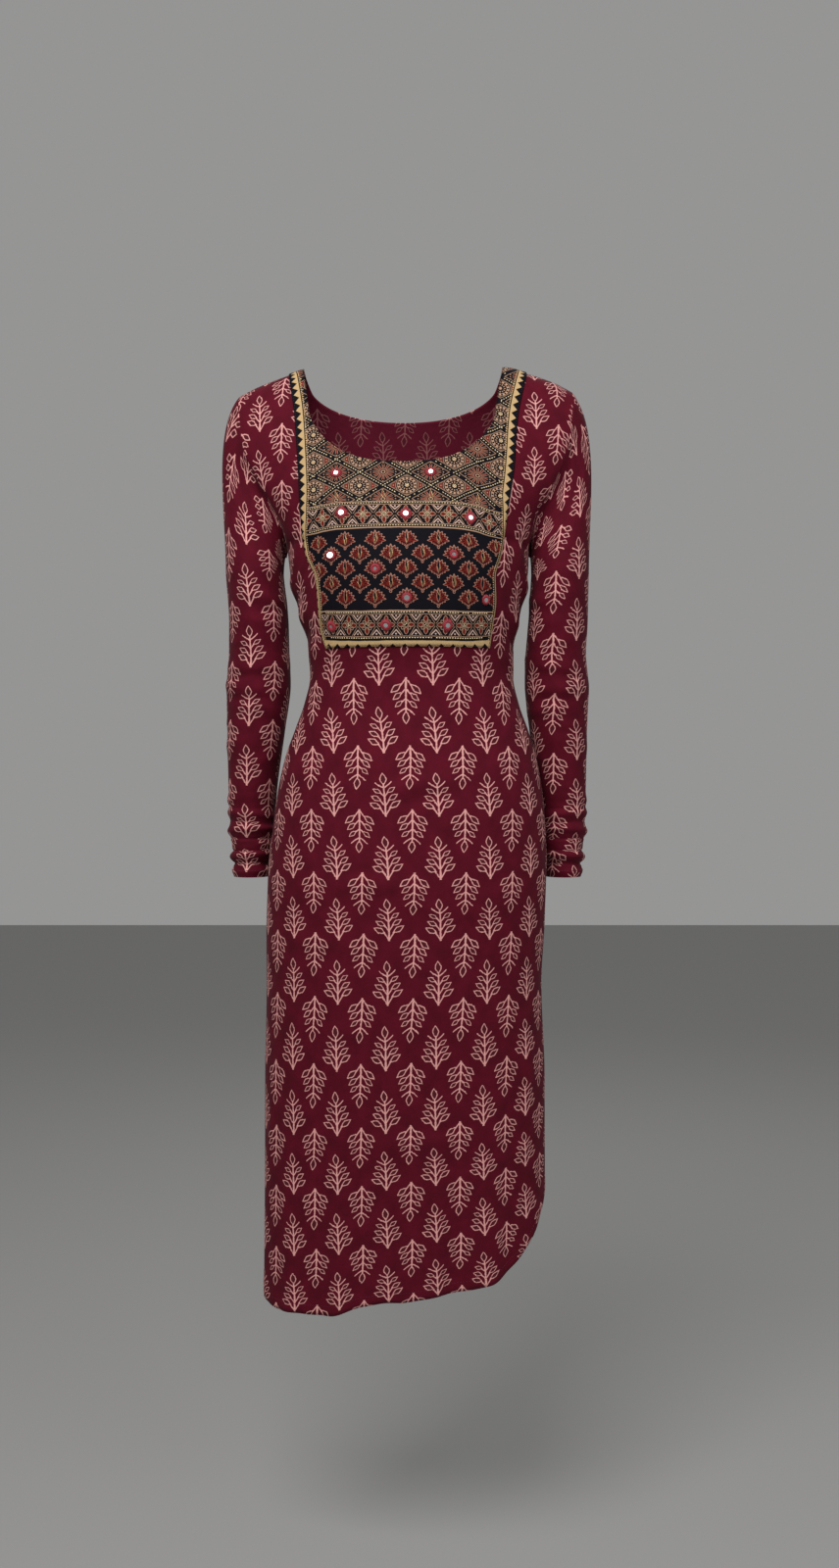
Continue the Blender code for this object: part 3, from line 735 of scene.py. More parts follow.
STEM_HALF_WIDTH = (1.12, 0.011)  # at the foot, and how much less it is for each millimetre up
BUD_MIDDLE = 42.6
BUD_SIZE = (6.6, 3.4, 1.6)
LEAF_LINE, BUD_LINE = 0.54, 0.56  # half the widths of their outlines
INSIDE_GAP = 0.9


def sprig_group():
    """One printed sprig, x across and y from its foot. Gives its lines and its leaves' insides."""
    inputs = dict.fromkeys(("x", "y", "Lean", "Angle", "Foot"), FLOAT)
    tree, given, result = node_group("sprig", inputs, {"Lines": FLOAT, "Insides": FLOAT})
    x, y, lean, angle, foot = (Signal(tree, given.outputs[at]) for at in range(5))
    x = x + y * y * SPRIG_BEND
    side = abs(x)
    level = y - x * lean
    slope = maths("TANGENT", angle)
    pair = (level - side * slope - foot + LEAF_OUT[0] * slope) / LEAF_SPACING
    pair = maths("ROUND", pair).clip(0, LAST_PAIR)
    cosine, sine = maths("COSINE", angle), maths("SINE", angle)
    leaf_x = side - (LEAF_OUT[0] - pair * LEAF_OUT[1])
    leaf_y = level - (foot + pair * LEAF_RISE)
    scale = LEAF_SCALE[0] - pair * LEAF_SCALE[1]
    along = (leaf_x * cosine + leaf_y * sine) / scale
    beside = (leaf_y * cosine - leaf_x * sine) / scale
    leaf_edge = leaf(along + LEAF_SHIFT, beside, *LEAF_SIZE)
    branch_start = (0.0, pair * BRANCH_FOOT[1] + BRANCH_FOOT[0])
    branch_end = (BRANCH_OUT[0] - pair * BRANCH_OUT[1], foot - BRANCH_TIP[0] + pair * BRANCH_TIP[1])
    branch = stroke(side, level, branch_start, branch_end, BRANCH_HALF_WIDTH)
    top = stroke(side, level + side * side * TOP_BRANCH_BEND, *TOP_BRANCH)
    past_stem = maths("MAXIMUM", y - STEM_TOP, 0 - y).clip(0, FAR)
    stem = distance(side, past_stem) - (STEM_HALF_WIDTH[0] - y * STEM_HALF_WIDTH[1])
    bud = leaf(y - BUD_MIDDLE, x, *BUD_SIZE)
    lines = nearest(stem, branch, top, abs(leaf_edge) - LEAF_LINE, abs(bud) - BUD_LINE)
    give(tree, result, Lines=lines, Insides=nearest(leaf_edge, bud) + INSIDE_GAP)
    return tree


COLUMN_MM = 58.5
ROW_MM = 72.0
INVERTED_RISE = 0.116  # of a row: how far an inverted sprig's tip is above the upright ones' feet
UPRIGHT = (0.085, 0.52, 13.2)  # lean, leaf angle in radians, level of the lowest leaves' feet
INVERTED = (0.04, 0.70, 12.0)
WAVER = (26.0, 0.022)  # how fine and how wide the print's edges waver


def sprig_print_group():
    """The block print: upright sprigs in columns, and inverted ones half-way between them."""
    tree, given, result = node_group("sprig_print", {"Print": VECTOR}, {"Ink": FLOAT, "Insides": FLOAT})
    waver = (noise(tree, given.outputs["Print"], WAVER[0], 1.0) - 0.5) * WAVER[1]
    column, row = (part + waver for part in split(tree, given.outputs["Print"]))
    masks = []
    sprig = sprig_group()
    for x, y, (lean, angle, foot) in (
        (maths("FRACT", column + 0.5) - 0.5, maths("FRACT", row), UPRIGHT),
        (maths("FRACT", column) - 0.5, maths("FRACT", INVERTED_RISE - row), INVERTED),
    ):
        node = place_group(tree, sprig, x=x * COLUMN_MM, y=y * ROW_MM, Lean=lean, Angle=angle, Foot=foot)
        masks.append([Signal(tree, node.outputs[name]) for name in ("Lines", "Insides")])
    lines, insides = (nearest(*pair) for pair in zip(*masks))
    give(tree, result, Ink=lines.within(0.32), Insides=insides.within(0.3))
    return tree


def plain_weave_group():
    """The height of a plain weave, for cloth whose map is given with the threads in one unit of it."""
    tree, given, result = node_group(
        "plain_weave", {"Place": VECTOR, "Warp": FLOAT, "Weft": FLOAT}, {"Height": FLOAT}
    )
    across, up = split(tree, given.outputs["Place"])
    across = across * Signal(tree, given.outputs["Warp"])
    up = up * Signal(tree, given.outputs["Weft"])
    over = maths("SINE", across * math.pi) * maths("SINE", up * math.pi)
    give(tree, result, Height=over * 0.5 + 0.5)
    return tree


def mixed(tree, share, first, second):
    """A colour between two colours, each a socket or numbers."""
    node = tree.nodes.new("ShaderNodeMix")
    node.data_type = "RGBA"
    tree.links.new(share.socket, node.inputs["Factor"])
    for socket, colour in ((node.inputs["A"], first), (node.inputs["B"], second)):
        if isinstance(colour, bpy.types.NodeSocket):
            tree.links.new(colour, socket)
        else:
            socket.default_value = (*colour, 1.0)
    return node.outputs["Result"]


def noise(tree, vector, scale, detail):
    """Smooth noise over the places that a vector socket gives."""
    node = tree.nodes.new("ShaderNodeTexNoise")
    node.inputs["Scale"].default_value = scale
    node.inputs["Detail"].default_value = detail
    tree.links.new(vector, node.inputs["Vector"])
    return Signal(tree, node.outputs["Fac"])


BUMP_STRENGTH = 0.45
BUMP_METRES = 0.0012


def uv_map(tree, name):
    node = tree.nodes.new("ShaderNodeUVMap")
    node.uv_map = name
    return node.outputs["UV"]


def add_bump(tree, shader, height):
    """Shows a height as the small bumps of a cloth's surface."""
    bump = tree.nodes.new("ShaderNodeBump")
    bump.inputs["Strength"].default_value = BUMP_STRENGTH
    bump.inputs["Distance"].default_value = BUMP_METRES
    tree.links.new(height.socket, bump.inputs["Height"])
    tree.links.new(bump.outputs["Normal"], shader.inputs["Normal"])


MAROON = (0.112, 0.0036, 0.0150)
# The maroon as seen in shade, painted on in soft random patches
MAROON_PAINTED_SHADE = (0.074, 0.0024, 0.0098)
MAROON_REVERSE = (0.120, 0.0080, 0.0220)
SALMON = (0.760, 0.370, 0.345)
LEAF_INSIDE = (0.070, 0.014, 0.017)
THREADS_A_COLUMN = 130.0
THREADS_A_ROW = THREADS_A_COLUMN * 1.2
sprig_print = sprig_print_group()
plain_weave = plain_weave_group()


def printed_cotton():
    """Soft maroon cotton, darkened in soft random patches with painted shade, with the pale block print
    worn thin in places.

    The print shows through faintly on its reverse.
    """
    material, shader = plain_finish("printed_cotton", MAROON, 0.85)
    shader.inputs["Sheen Weight"].default_value = 0.03
    shader.inputs["Sheen Roughness"].default_value = 0.4
    shader.inputs["Specular IOR Level"].default_value = 0.12
    tree = material.node_tree
    map_place = uv_map(tree, "print")
    pattern = place_group(tree, sprig_print, Print=map_place)
    ink, insides = (Signal(tree, pattern.outputs[name]) for name in ("Ink", "Insides"))
    # Painted shade: soft random patches where the maroon is mixed towards its shaded copy
    painted_shade_patches = noise(tree, map_place, 3.0, 3.0)
    dry = noise(tree, map_place, 34.0, 3.0)
    ground = mixed(tree, ((painted_shade_patches - 0.3) * 2.2).clip(0, 1), MAROON_PAINTED_SHADE, MAROON)
    side = tree.nodes.new("ShaderNodeAttribute")
    side.attribute_name = "reverse"
    reverse = Signal(tree, side.outputs["Fac"])
    ground = mixed(tree, reverse, ground, MAROON_REVERSE)
    filled = mixed(tree, insides * 0.55, ground, LEAF_INSIDE)
    coverage = ink * (1.0 - ((dry - 0.52) * 2.4).clip(0, 0.45)) * (1.0 - reverse * 0.72)
    tree.links.new(mixed(tree, coverage, filled, SALMON), shader.inputs["Base Color"])
    weave = place_group(tree, plain_weave, Place=map_place, Warp=THREADS_A_COLUMN, Weft=THREADS_A_ROW)
    rumple = noise(tree, map_place, 5.5, 2.0)
    add_bump(tree, shader, rumple * 1.2 + Signal(tree, weave.outputs["Height"]) * 0.06 + ink * 0.05)
    return material


cotton = printed_cotton()
front_turns, front_drops, (yoke_left, yoke_right) = front_grid()
front_points, front_facing = hemmed_surface(*FRONT_CLOTH, front_turns, front_drops)
front_print = print_place(FRONT, -1, front_turns, front_drops)
front_piece = cloth_shell("front_cloth", front_points, front_facing, CLOTH, cotton, {"print": front_print})
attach(front_piece, "root")
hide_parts("front")

# Back: one panel of the same cotton, sewn to the front at the shoulders and down the sides. It stands
# a little over the shoulder seams behind the neck, and its reverse shows inside the neck and the hem.
BACK_NECK = (0.048, 2.2)
BACK_SHOULDER_COLUMNS = 28
BACK_NECK_COLUMNS = 60
BACK_SKIRT_ROWS = 140
BACK = (
    # drop, middle, edge, power
    (0.000, -0.010, -0.010, 1.6),
    (0.006, 0.014, 0.010, 1.6),
    (0.020, 0.036, 0.026, 1.6),
    (0.045, 0.056, 0.040, 1.6),
    (0.080, 0.073, 0.050, 1.5),
    (0.120, 0.087, 0.055, 1.4),
    (0.155, 0.097, 0.050, 1.25),
    (0.185, 0.101, 0.037, 1.1),
    (0.203, 0.103, 0.022, 1.0),
    (0.215, 0.103, 0.000, 0.95),
    (0.245, 0.103, 0.000, 0.90),
    (0.290, 0.100, 0.000, 0.90),
    (0.326, 0.094, 0.000, 0.92),
    (0.366, 0.086, 0.000, 0.95),
    (0.400, 0.086, 0.000, 0.95),
    (0.428, 0.093, 0.000, 0.95),
    (0.465, 0.104, 0.000, 0.92),
    (0.510, 0.115, 0.000, 0.90),
    (0.598, 0.121, 0.000, 0.90),
    (0.656, 0.119, 0.000, 0.90),
    (0.734, 0.115, 0.000, 0.92),
    (0.850, 0.111, 0.000, 0.95),
    (0.968, 0.108, 0.006, 1.00),
    (1.120, 0.105, 0.011, 1.00),
)
BACK_HEM = (
    # turn in degrees, drop
    (-90, 1.086),
    (-80, 1.100),
    (-50, 1.104),
    (-20, 1.098),
    (10, 1.090),
    (35, 1.080),
    (50, 1.062),
    (65, 1.026),
    (78, 0.997),
    (90, 0.975),
)
BACK_FOLDS = (
    # turn in degrees, drop, slope in degrees, half_length, half_width, height
    (-6, 0.345, 3, 0.085, 0.011, 0.0036),
    (9, 0.378, -4, 0.070, 0.010, 0.0032),
    (-14, 0.405, 5, 0.055, 0.010, 0.0022),
    (74, 0.300, -20, 0.030, 0.011, 0.0034),
    (-72, 0.292, 20, 0.030, 0.011, 0.0032),
    (58, 0.222, -38, 0.034, 0.010, 0.0026),
    (-60, 0.228, 38, 0.034, 0.010, 0.0026),
    (0, 0.640, 2, 0.060, 0.014, 0.0018),
)
BACK_CREASES = (
    # turn in degrees, drop, slope in degrees, half_length, half_width, height
    (-2, 0.361, 2, 0.070, 0.0045, -0.0016),
    (4, 0.392, -4, 0.056, 0.0045, -0.0013),
    (-24, 0.430, 12, 0.046, 0.0055, 0.0014),
    (30, 0.422, -12, 0.044, 0.0055, 0.0013),
    (20, 0.322, -7, 0.048, 0.0050, 0.0013),
    (-30, 0.318, 8, 0.044, 0.0050, 0.0013),
    (80, 0.322, -18, 0.026, 0.0050, -0.0016),
    (-80, 0.314, 18, 0.026, 0.0050, -0.0016),
    (64, 0.384, 6, 0.030, 0.0050, 0.0014),
    (-66, 0.392, -6, 0.030, 0.0050, 0.0014),
    (40, 0.170, -64, 0.044, 0.0070, 0.0013),
    (-42, 0.176, 62, 0.044, 0.0070, 0.0013),
    (12, 0.560, 6, 0.060, 0.0070, 0.0012),
    (-38, 0.600, -10, 0.040, 0.0060, 0.0011),
    (46, 0.640, 14, 0.044, 0.0070, 0.0012),
    (-16, 0.740, 4, 0.050, 0.0080, 0.0009),
    (58, 0.880, 84, 0.080, 0.0110, 0.0017),
    (-56, 0.900, 80, 0.080, 0.0110, 0.0017),
    (6, 0.980, 86, 0.070, 0.0130, 0.0015),
)
BACK_CLOTH = (BACK, 1, BACK_FOLDS + BACK_CREASES, BACK_HEM)
BACK_PRINT_SHIFT = (0.35, 0.4)  # the back is cut from another place on the cloth


def back_grid():
    """The back's turns and drops."""
    across, neck_drops = scoop(*BACK_NECK, BACK_NECK_COLUMNS)
    neck_turns = turn_at(across, neck_drops)
    left = np.linspace(-RIGHT_ANGLE, neck_turns[0], BACK_SHOULDER_COLUMNS + 1)[:-1]
    top_turns = np.concatenate([left, neck_turns, -left[::-1]])
    top_drops = np.concatenate([shoulder_columns(left), neck_drops, shoulder_columns(-left[::-1])])
    foot_turns = np.linspace(-RIGHT_ANGLE, RIGHT_ANGLE, len(top_turns))
    return grid_of(top_turns, top_drops, foot_turns, BACK_HEM, BACK_SKIRT_ROWS)


back_turns, back_drops = back_grid()
back_points, back_facing = hemmed_surface(*BACK_CLOTH, back_turns, back_drops)
back_print = print_place(BACK, 1, back_turns, back_drops, BACK_PRINT_SHIFT)
back_maps = {"print": back_print}
back_piece = cloth_shell("back_cloth", back_points, back_facing, CLOTH, cotton, back_maps, flip=True)
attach(back_piece, "root")
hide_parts("back")

# Sleeves: two long tubes of the same cotton, set into the armholes and left a little too long, so
# that they are pushed up in rings at the wrist. Each is sewn up under the arm.
ARM_ROWS = 70
WRIST_ROWS = 90
CAP_ROWS = 40
WRIST_TOP = 0.515
CAP_PULL = 0.73  # how strongly the sleeve cap leaves the seam outwards
CAP_DOWN = 0.6  # how far it turns down as it leaves
SLEEVE = (
    # drop, left_x, right_x, y, half_width, half_depth
    (0.245, -0.1815, 0.1855, 0.000, 0.0345, 0.052),
    (0.304, -0.1773, 0.1835, 0.007, 0.0357, 0.050),
    (0.340, -0.1775, 0.1815, 0.013, 0.0365, 0.049),
    (0.376, -0.1785, 0.1830, 0.018, 0.0385, 0.047),
    (0.430, -0.1825, 0.1855, 0.026, 0.0350, 0.043),
    (0.4956, -0.1870, 0.1900, 0.034, 0.0300, 0.037),
    (0.520, -0.1880, 0.1910, 0.037, 0.0285, 0.035),
    (0.545, -0.1885, 0.1920, 0.040, 0.0270, 0.034),
    (0.570, -0.1890, 0.1925, 0.042, 0.0245, 0.0325),
    (0.596, -0.1895, 0.1930, 0.043, 0.0220, 0.031),
    (0.609, -0.1898, 0.1930, 0.044, 0.0212, 0.0305),
)
ARM_TOP = SLEEVE[0][0]
SLEEVE_END = SLEEVE[-1][0]
# round is the angle from the outer side to the front, and reach is how far round a fold goes
SLEEVE_FOLDS = (
    # drop, round in degrees, reach in degrees, slant, half_width, height
    (0.268, 110, 50, 0.010, 0.008, 0.0030),
    (0.300, 100, 40, -0.008, 0.008, 0.0020),
    (0.352, 80, 55, 0.006, 0.007, 0.0026),
    (0.378, 60, 60, -0.006, 0.007, 0.0030),
    (0.404, 95, 50, 0.005, 0.007, 0.0022),
    (0.448, 40, 60, 0.006, 0.008, 0.0016),
    (0.512, 20, 80, 0.004, 0.006, 0.0022),
    (0.5335, 0, 360, 0.0035, 0.0055, 0.0026),
    (0.552, 0, 360, -0.0030, 0.0060, 0.0042),
    (0.568, 160, 90, 0.0030, 0.0045, 0.0024),
    (0.583, 0, 360, 0.0025, 0.0055, 0.0042),
    (0.6005, 0, 360, -0.0020, 0.0045, 0.0022),
)
SLEEVE_CREASES = (
    # drop, round in degrees, reach in degrees, slant, half_width, height
    (0.284, 120, 36, 0.012, 0.0036, -0.0014),
    (0.318, 60, 34, -0.010, 0.0040, 0.0012),
    (0.337, 130, 34, 0.008, 0.0036, 0.0013),
    (0.365, 70, 46, 0.004, 0.0034, -0.0014),
    (0.391, 76, 44, -0.004, 0.0034, -0.0013),
    (0.420, 40, 40, 0.006, 0.0040, 0.0012),
    (0.470, 120, 40, -0.008, 0.0045, 0.0011),
    (0.494, 70, 44, 0.006, 0.0040, 0.0012),
    (0.5230, 60, 70, -0.003, 0.0028, -0.0010),
    (0.5425, 100, 90, 0.003, 0.0028, -0.0014),
    (0.5610, 20, 80, 0.004, 0.0026, 0.0013),
    (0.5745, 200, 90, -0.003, 0.0030, 0.0014),
    (0.5920, 60, 120, 0.002, 0.0024, -0.0014),
    (0.5615, 0, 360, 0.0005, 0.0018, -0.0013),
    (0.5765, 0, 360, 0.0008, 0.0018, -0.0015),
    (0.5930, 0, 360, 0.0005, 0.0018, -0.0012),
    (0.350, 250, 50, 0.006, 0.0060, 0.0018),
    (0.385, 280, 50, -0.006, 0.0060, 0.0018),
)
SLEEVE_TUCKS = (
    # drop, slant, and how much cloth is hidden in the valley between two gathers
    (0.5420, 0.0020, 0.004),
    (0.5615, 0.0005, 0.009),
    (0.5765, 0.0008, 0.011),
    (0.5930, 0.0005, 0.007),
)
TUCK_WIDTH = 0.0011
FOLD_DRIFT = 90  # radians a metre: how far round the arm a fold's slant starts, by its drop
RIGHT_FOLD_TURN = 25  # degrees that the folds of the +X sleeve lie further round
CUFF_TURN = 0.010  # how much cloth is turned in at the wrist
SLEEVE_PRINT = {
    # side: round in degrees of a column of upright sprigs, drop of the foot of one, spacing
    -1: (82.0, 0.2874, 0.0610),
    1: (56.0, 0.3267, 0.0610),
}
SLEEVE_ROW = ROW_MM / 1000 * 1.01


def armhole_loop(front, back, column):
    """The armhole's points and the way that the panels face along it, from the top round the front."""
    last = ARMHOLE_ROWS
    rows = []
    for part in (0, 1):
        ahead, behind = front[part][:, column], back[part][:, column]
        top = (ahead[0] + behind[0]) / 2
        foot = (ahead[last] + behind[last]) / 2
        rows.append(np.concatenate([[top], ahead[1:last], [foot], behind[last - 1 : 0 : -1]]))
    return rows[0], unit(rows[1])


def sleeve_fold_height(folds, drop, angle, turned):
    """How far the sleeve's folds lift its cloth."""
    height = np.zeros(np.broadcast(drop, angle).shape)
    for fold_drop, middle, reach, slant, half_width, fold in folds:
        away = (angle - math.radians(middle + turned) + np.pi) % (2 * np.pi) - np.pi
        beside = (drop - fold_drop - slant * np.sin(angle + fold_drop * FOLD_DRIFT)) / half_width
        around = np.exp(-((away / math.radians(reach)) ** 2)) if reach < 360 else 1.0
        height = height + fold * around * np.exp(-(beside**2))
    return height


def sleeve_print_place(outer, angle, drop, side):
    """Where a sleeve's points lie on the print, which is tucked away in the valleys at the wrist."""
    column_round, foot_drop, spacing = SLEEVE_PRINT[side]
    column_angle = 2 * np.pi + math.radians(column_round)
    closed = np.concatenate([outer, outer[:, :1]], axis=1)
    arc = lengths_along(closed, axis=1)
    at_column = np.array([np.interp(column_angle, angle, row[:-1]) for row in arc])
    columns = (arc - at_column[:, None]) * -side / spacing
    down = lengths_along(closed)[:, np.searchsorted(angle, column_angle), None]
    arm_start = down[CAP_ROWS]
    down = np.broadcast_to(down, columns.shape).copy()
    for tuck_drop, slant, hidden in SLEEVE_TUCKS:
        past = drop - tuck_drop - slant * np.sin(np.append(angle, angle[:1]) + tuck_drop * FOLD_DRIFT)
        down[CAP_ROWS:] += hidden * (0.5 + 0.5 * np.tanh(past / TUCK_WIDTH))
    rows = (foot_drop - ARM_TOP - (down - arm_start)) / SLEEVE_ROW
    return np.stack([columns, rows], axis=-1)


def sleeve(name, side):
    """A set-in sleeve: it leaves the armhole's own points, turns down and hangs to the wrist."""
    front, back = (front_points, front_facing), (back_points, back_facing)
    loop, panel_facing = armhole_loop(front, back, 0 if side < 0 else -1)
    along = np.roll(loop, -1, axis=0) - np.roll(loop, 1, axis=0)
    away = unit(np.cross(along, panel_facing)) * -side
    start = loop + away * SEAM_GAP

    last = ARMHOLE_ROWS
    steps = np.linalg.norm(np.roll(loop, -1, axis=0) - loop, axis=1)
    ahead = np.cumsum(steps[:last]) / steps[:last].sum()
    behind = np.cumsum(steps[last:]) / steps[last:].sum()
    angle = np.pi * np.concatenate([[0.0], ahead, 1 + behind[:-1]])

    drop = np.concatenate([
        np.linspace(ARM_TOP, WRIST_TOP, ARM_ROWS + 1),
        np.linspace(WRIST_TOP, SLEEVE_END, WRIST_ROWS + 1)[1:],
    ])[:, None]
    centre = smooth_curve(SLEEVE, 1 if side < 0 else 2, drop)
    y, half_width, half_depth = (smooth_curve(SLEEVE, column, drop) for column in (3, 4, 5))
    turned = 0 if side < 0 else RIGHT_FOLD_TURN
    lift = sleeve_fold_height(SLEEVE_FOLDS + SLEEVE_CREASES, drop, angle, turned)
    lift = lift + HEM_SWELL * (SLEEVE_END - drop < CUFF_TURN)
    arm = np.stack([
        centre + side * (half_width + lift) * np.cos(angle),
        y - (half_depth + lift) * np.sin(angle),
        -drop * np.ones_like(angle),
    ], axis=-1)

    reach = np.linalg.norm(arm[0] - start, axis=1)[:, None]
    down = np.array([0, 0, -1.0])
    turn_down = CAP_DOWN * (0.5 + 0.5 * np.cos(angle))[:, None]
    leave = unit(away + down * turn_down) * reach * CAP_PULL
    arrive = down * reach
    share = np.linspace(0, 1, CAP_ROWS + 1)[:-1, None, None]
    left = 1 - share
    cap = (
        left**2 * (1 + 2 * share) * start
        + share**2 * (1 + 2 * left) * arm[0]
        + share * left * (left * leave - share * arrive)
    )

    outer = np.roll(np.concatenate([cap, arm]), -last, axis=1)
    angle = np.roll(angle, -last)
    angle[last:] += 2 * np.pi
    around = np.roll(outer, -1, axis=1) - np.roll(outer, 1, axis=1)
    along = np.gradient(outer, axis=0)
    facing = unit(np.cross(along, around)) * -side
    facing[0] = np.roll(panel_facing, -last, axis=0)

    maps = {"print": sleeve_print_place(outer, angle, drop, side)}
    piece = cloth_shell(name, outer, facing, CLOTH, cotton, maps, flip=side > 0, tube=True)
    stitched = CAP_ROWS + np.searchsorted(drop[:, 0], SLEEVE_END - CUFF_TURN) + 1
    return piece, [np.concatenate([part[stitched], part[stitched, :1]]) for part in (outer, facing)]


cuff_lines = []
for name, side in (("sleeve_left", -1), ("sleeve_right", 1)):
    sleeve_piece, cuff_line = sleeve(name + "_cloth", side)
    cuff_lines.append(cuff_line)
    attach(sleeve_piece, "root")
    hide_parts(name)

# Yoke: a bib of black cotton laid on the front and sewn down round its edge. Its print has a lattice of
# medallions, two banded borders and rows of lotus fans between them, with a toothed edge.
YOKE_CLOTH = 0.0014
LAID_GAP = 0.0003  # under a piece that lies on another
YOKE_TURNED = (
    # drop, left, right: millimetres of the print's edge that are folded under
    (160, 0.0, 0.0),
    (185, 1.5, 5.0),
    (205, 4.2, 8.0),
    (245, 6.6, 8.6),
    (338, 6.0, 8.0),
)
YOKE_SAG = (
    # across, at the first border, at the second: millimetres that the print hangs low
    (-112, 3.4, -3.0),
    (-97, 1.6, -3.0),
    (-80, 0.0, -1.5),
    (-50, 0.0, 0.0),
    (50, 0.0, 0.0),
    (70, 1.2, 0.0),
    (85, 3.6, -1.0),
    (100, 8.0, -2.5),
    (115, 10.0, -3.0),
)
SAG_FROM, SAG_TO = 188, 314
# The print, in millimetres
LATTICE_START = (-79.7, 137.0)
LATTICE_PITCH = (54.5, 33.0)
LATTICE_END = 172.8
BORDERS = (
    # middle, half_height, pitch, place of one rosette across
    (188.0, 12.6, 24.5, 0.7),
    (314.0, 13.4, 22.5, -21.3),
)
FIELD = (204.6, 298.2)
FAN_PITCH = (35.9, 33.0)
FAN_STARTS = ((2.0, 218.0, 3), (19.95, 234.5, 2))  # across, down, rows
THIN_LINES = (
    # down, half_width
    (172.9, 0.4),
    (176.5, 0.3),
    (199.6, 0.3),
    (203.8, 0.6),
    (298.4, 0.6),
    (302.0, 0.3),
    (326.7, 0.3),
)
EDGE_STRIP = 10.0  # the toothed strip's straight side, from the edge
EDGE_TEETH = (10.8, 2.4, 5.8)  # pitch, how far from the edge their points are, height
EDGE_DOTS = (11.9, 2.7, 0.75)  # how far from the edge, pitch, radius
PRINT_EDGE = 11.2  # the rest of the print ends here
FOOT_STRIP = 331.6  # the straight side of the toothed strip along the foot
FOOT_TEETH = (13.8, 338.4, 3.5, 0.92)  # pitch, the yoke's foot, how far over it the gaps reach, slope
FOOT_STRIP_EDGE = 5.0

# A medallion's rings, each as radius and half_width, and its dots as radius, count and dot
CORE = 1.9
PETALS = (4.9, 0.9)
PETAL_SPOKES = (12, 0.46)  # count, half_width
BAND = (8.4, 1.4)
BAND_DOTS = (8.4, 14, 1.1)
INNER_LINE = (11.3, 0.26)
OUTER_DOTS = (13.6, 24, 0.6)
OUTER_LINE = (16.0, 0.25)
CORNERS = (12.2, 15.2)  # the rose corners lie between these radii
ROUND_WIDTH = 0.88  # how much narrower than high a medallion is drawn
# The flower in the diamonds between them
FLOWER_HEIGHT = 1.28
FLOWER_SPOKES = (12, 0.1, 0.082)  # count, half_width, and how much wider a petal gets as it goes out
FLOWER_PETALS = (7.6, 4.0)
FLOWER_OUTLINE = (8.2, 4.2)
PETAL_OUTLINE = (0.28, 0.19)
FLOWER_RING = (2.2, 0.5)
FLOWER_DOTS = (14.6, 24, 0.7)
LATTICE_LINE = (3.0, 0.25)  # on each side of the lattice's bead line
LATTICE_CLEAR = 3.7

# A border's rosette of four leaves and four dots
SIDE_LEAF = (6.2, 3.5, 2.3)  # from the middle, half_length, half_width
UPPER_LEAF = (6.6, 3.9, 2.3)
ROSETTE_CORNER = (3.7, 1.5)  # across and down from the middle, radius
ROSETTE_RING = 2.6
LEAF_OUTLINE, CORNER_OUTLINE, RING_OUTLINE = 0.34, 0.29, 0.32  # half the widths of their lines
LEAF_INK_INSET = 0.4
BORDER_INSET = 1.0
CROSSING = ((0.8, 1.6), (7.2, 11.4), 0.27)  # start, end, half_width
PINK_START, PINK_ACROSS, PINK_INSET, PINK_HALF_WIDTH = (0.0, 5.4), 4.8, 2.4, 0.55
PINK_DOT = (3.4, 0.95)  # below the border's edge, radius

# A lotus fan
FAN_LEVEL = 1.6  # its widest line below its own middle
FAN_HALF_WIDTH = 10.9
FAN_HEIGHTS = (6.2, 4.7)  # below its widest line, and how much more above it
FAN_ROUNDNESS = (1.10, 0.50)  # the same for its outline, where 1 is a diamond and 2 is round
FAN_PETALS = (16, 0.115)  # count, and how far their points stand out, as a share of the fan
FAN_MM = 7.8  # millimetres that a whole share stands for
FAN_GAPS = (0.58, 0.5, 8.0)  # between the petals: half_width, the share where they start, its sharpness
FAN_STALK = ((0.0, 7.6), (0.0, 9.6), 1.1)  # start, end, half_width
FAN_STALK_TOP = 7.4
FAN_CORE = (2.6, 7.4, 1.8)  # above the fan's own middle, half_length, half_width
FAN_OUTLINE, STALK_OUTLINE, CORE_OUTLINE = 0.44, 0.34, 0.26  # half the widths of their lines
FAN_INK_INSET = 0.6

YOKE_WAVER = (0.11, 1.3, 0.9)  # how fine, then how wide across and down
YOKE_THREADS = (2.2, 2.5)  # in each millimetre, across and down
BLACK = (0.0055, 0.0047, 0.0075)
TAN = (0.500, 0.305, 0.200)
BEIGE = (0.560, 0.385, 0.190)
BRICK = (0.150, 0.013, 0.008)
ROSE = (0.190, 0.024, 0.017)
CLAY = (0.440, 0.210, 0.150)
PINK = (0.690, 0.470, 0.385)


def yoke_sag(across, down):
    """How far the print hangs below its own level, in millimetres."""
    rows = np.array(YOKE_SAG, float)
    share = np.clip((down - SAG_FROM) / (SAG_TO - SAG_FROM), 0, 1)
    upper, lower = (np.interp(across, rows[:, 0], rows[:, column]) for column in (1, 2))
    return upper + (lower - upper) * share


def yoke_place(turns, drops):
    """Where points lie on the yoke's print, in millimetres across and down."""
    across = (cloth_round(FRONT, -1, turns, drops) + smooth_curve(BODY, 1, drops)) * 1000
    down = drops * 1000
    return np.stack([across, down - yoke_sag(across, down)], axis=-1)


def repeat(signal, pitch, start=0.0, count=None):
    """How far a place is from the nearest of evenly spaced ones, from the first on if they are counted."""
    share = (signal - start) / pitch
    number = maths("ROUND", share)
    if count:
        number = number.clip(0, count - 1)
    return (share - number) * pitch


def spokes(angle, radius, count, half_width, start=0.0):
    """How far outside evenly spaced spokes a place is."""
    step = 2 * math.pi / count
    return abs(repeat(angle, step, start * step)) * radius - half_width


def dot_ring(angle, radius, ring, count, dot):
    return distance(radius - ring, repeat(angle, 2 * math.pi / count) * ring) - dot


def band(reach, middle, half_width):
    """How far outside a band or ring a place is."""
    return abs(reach - middle) - half_width


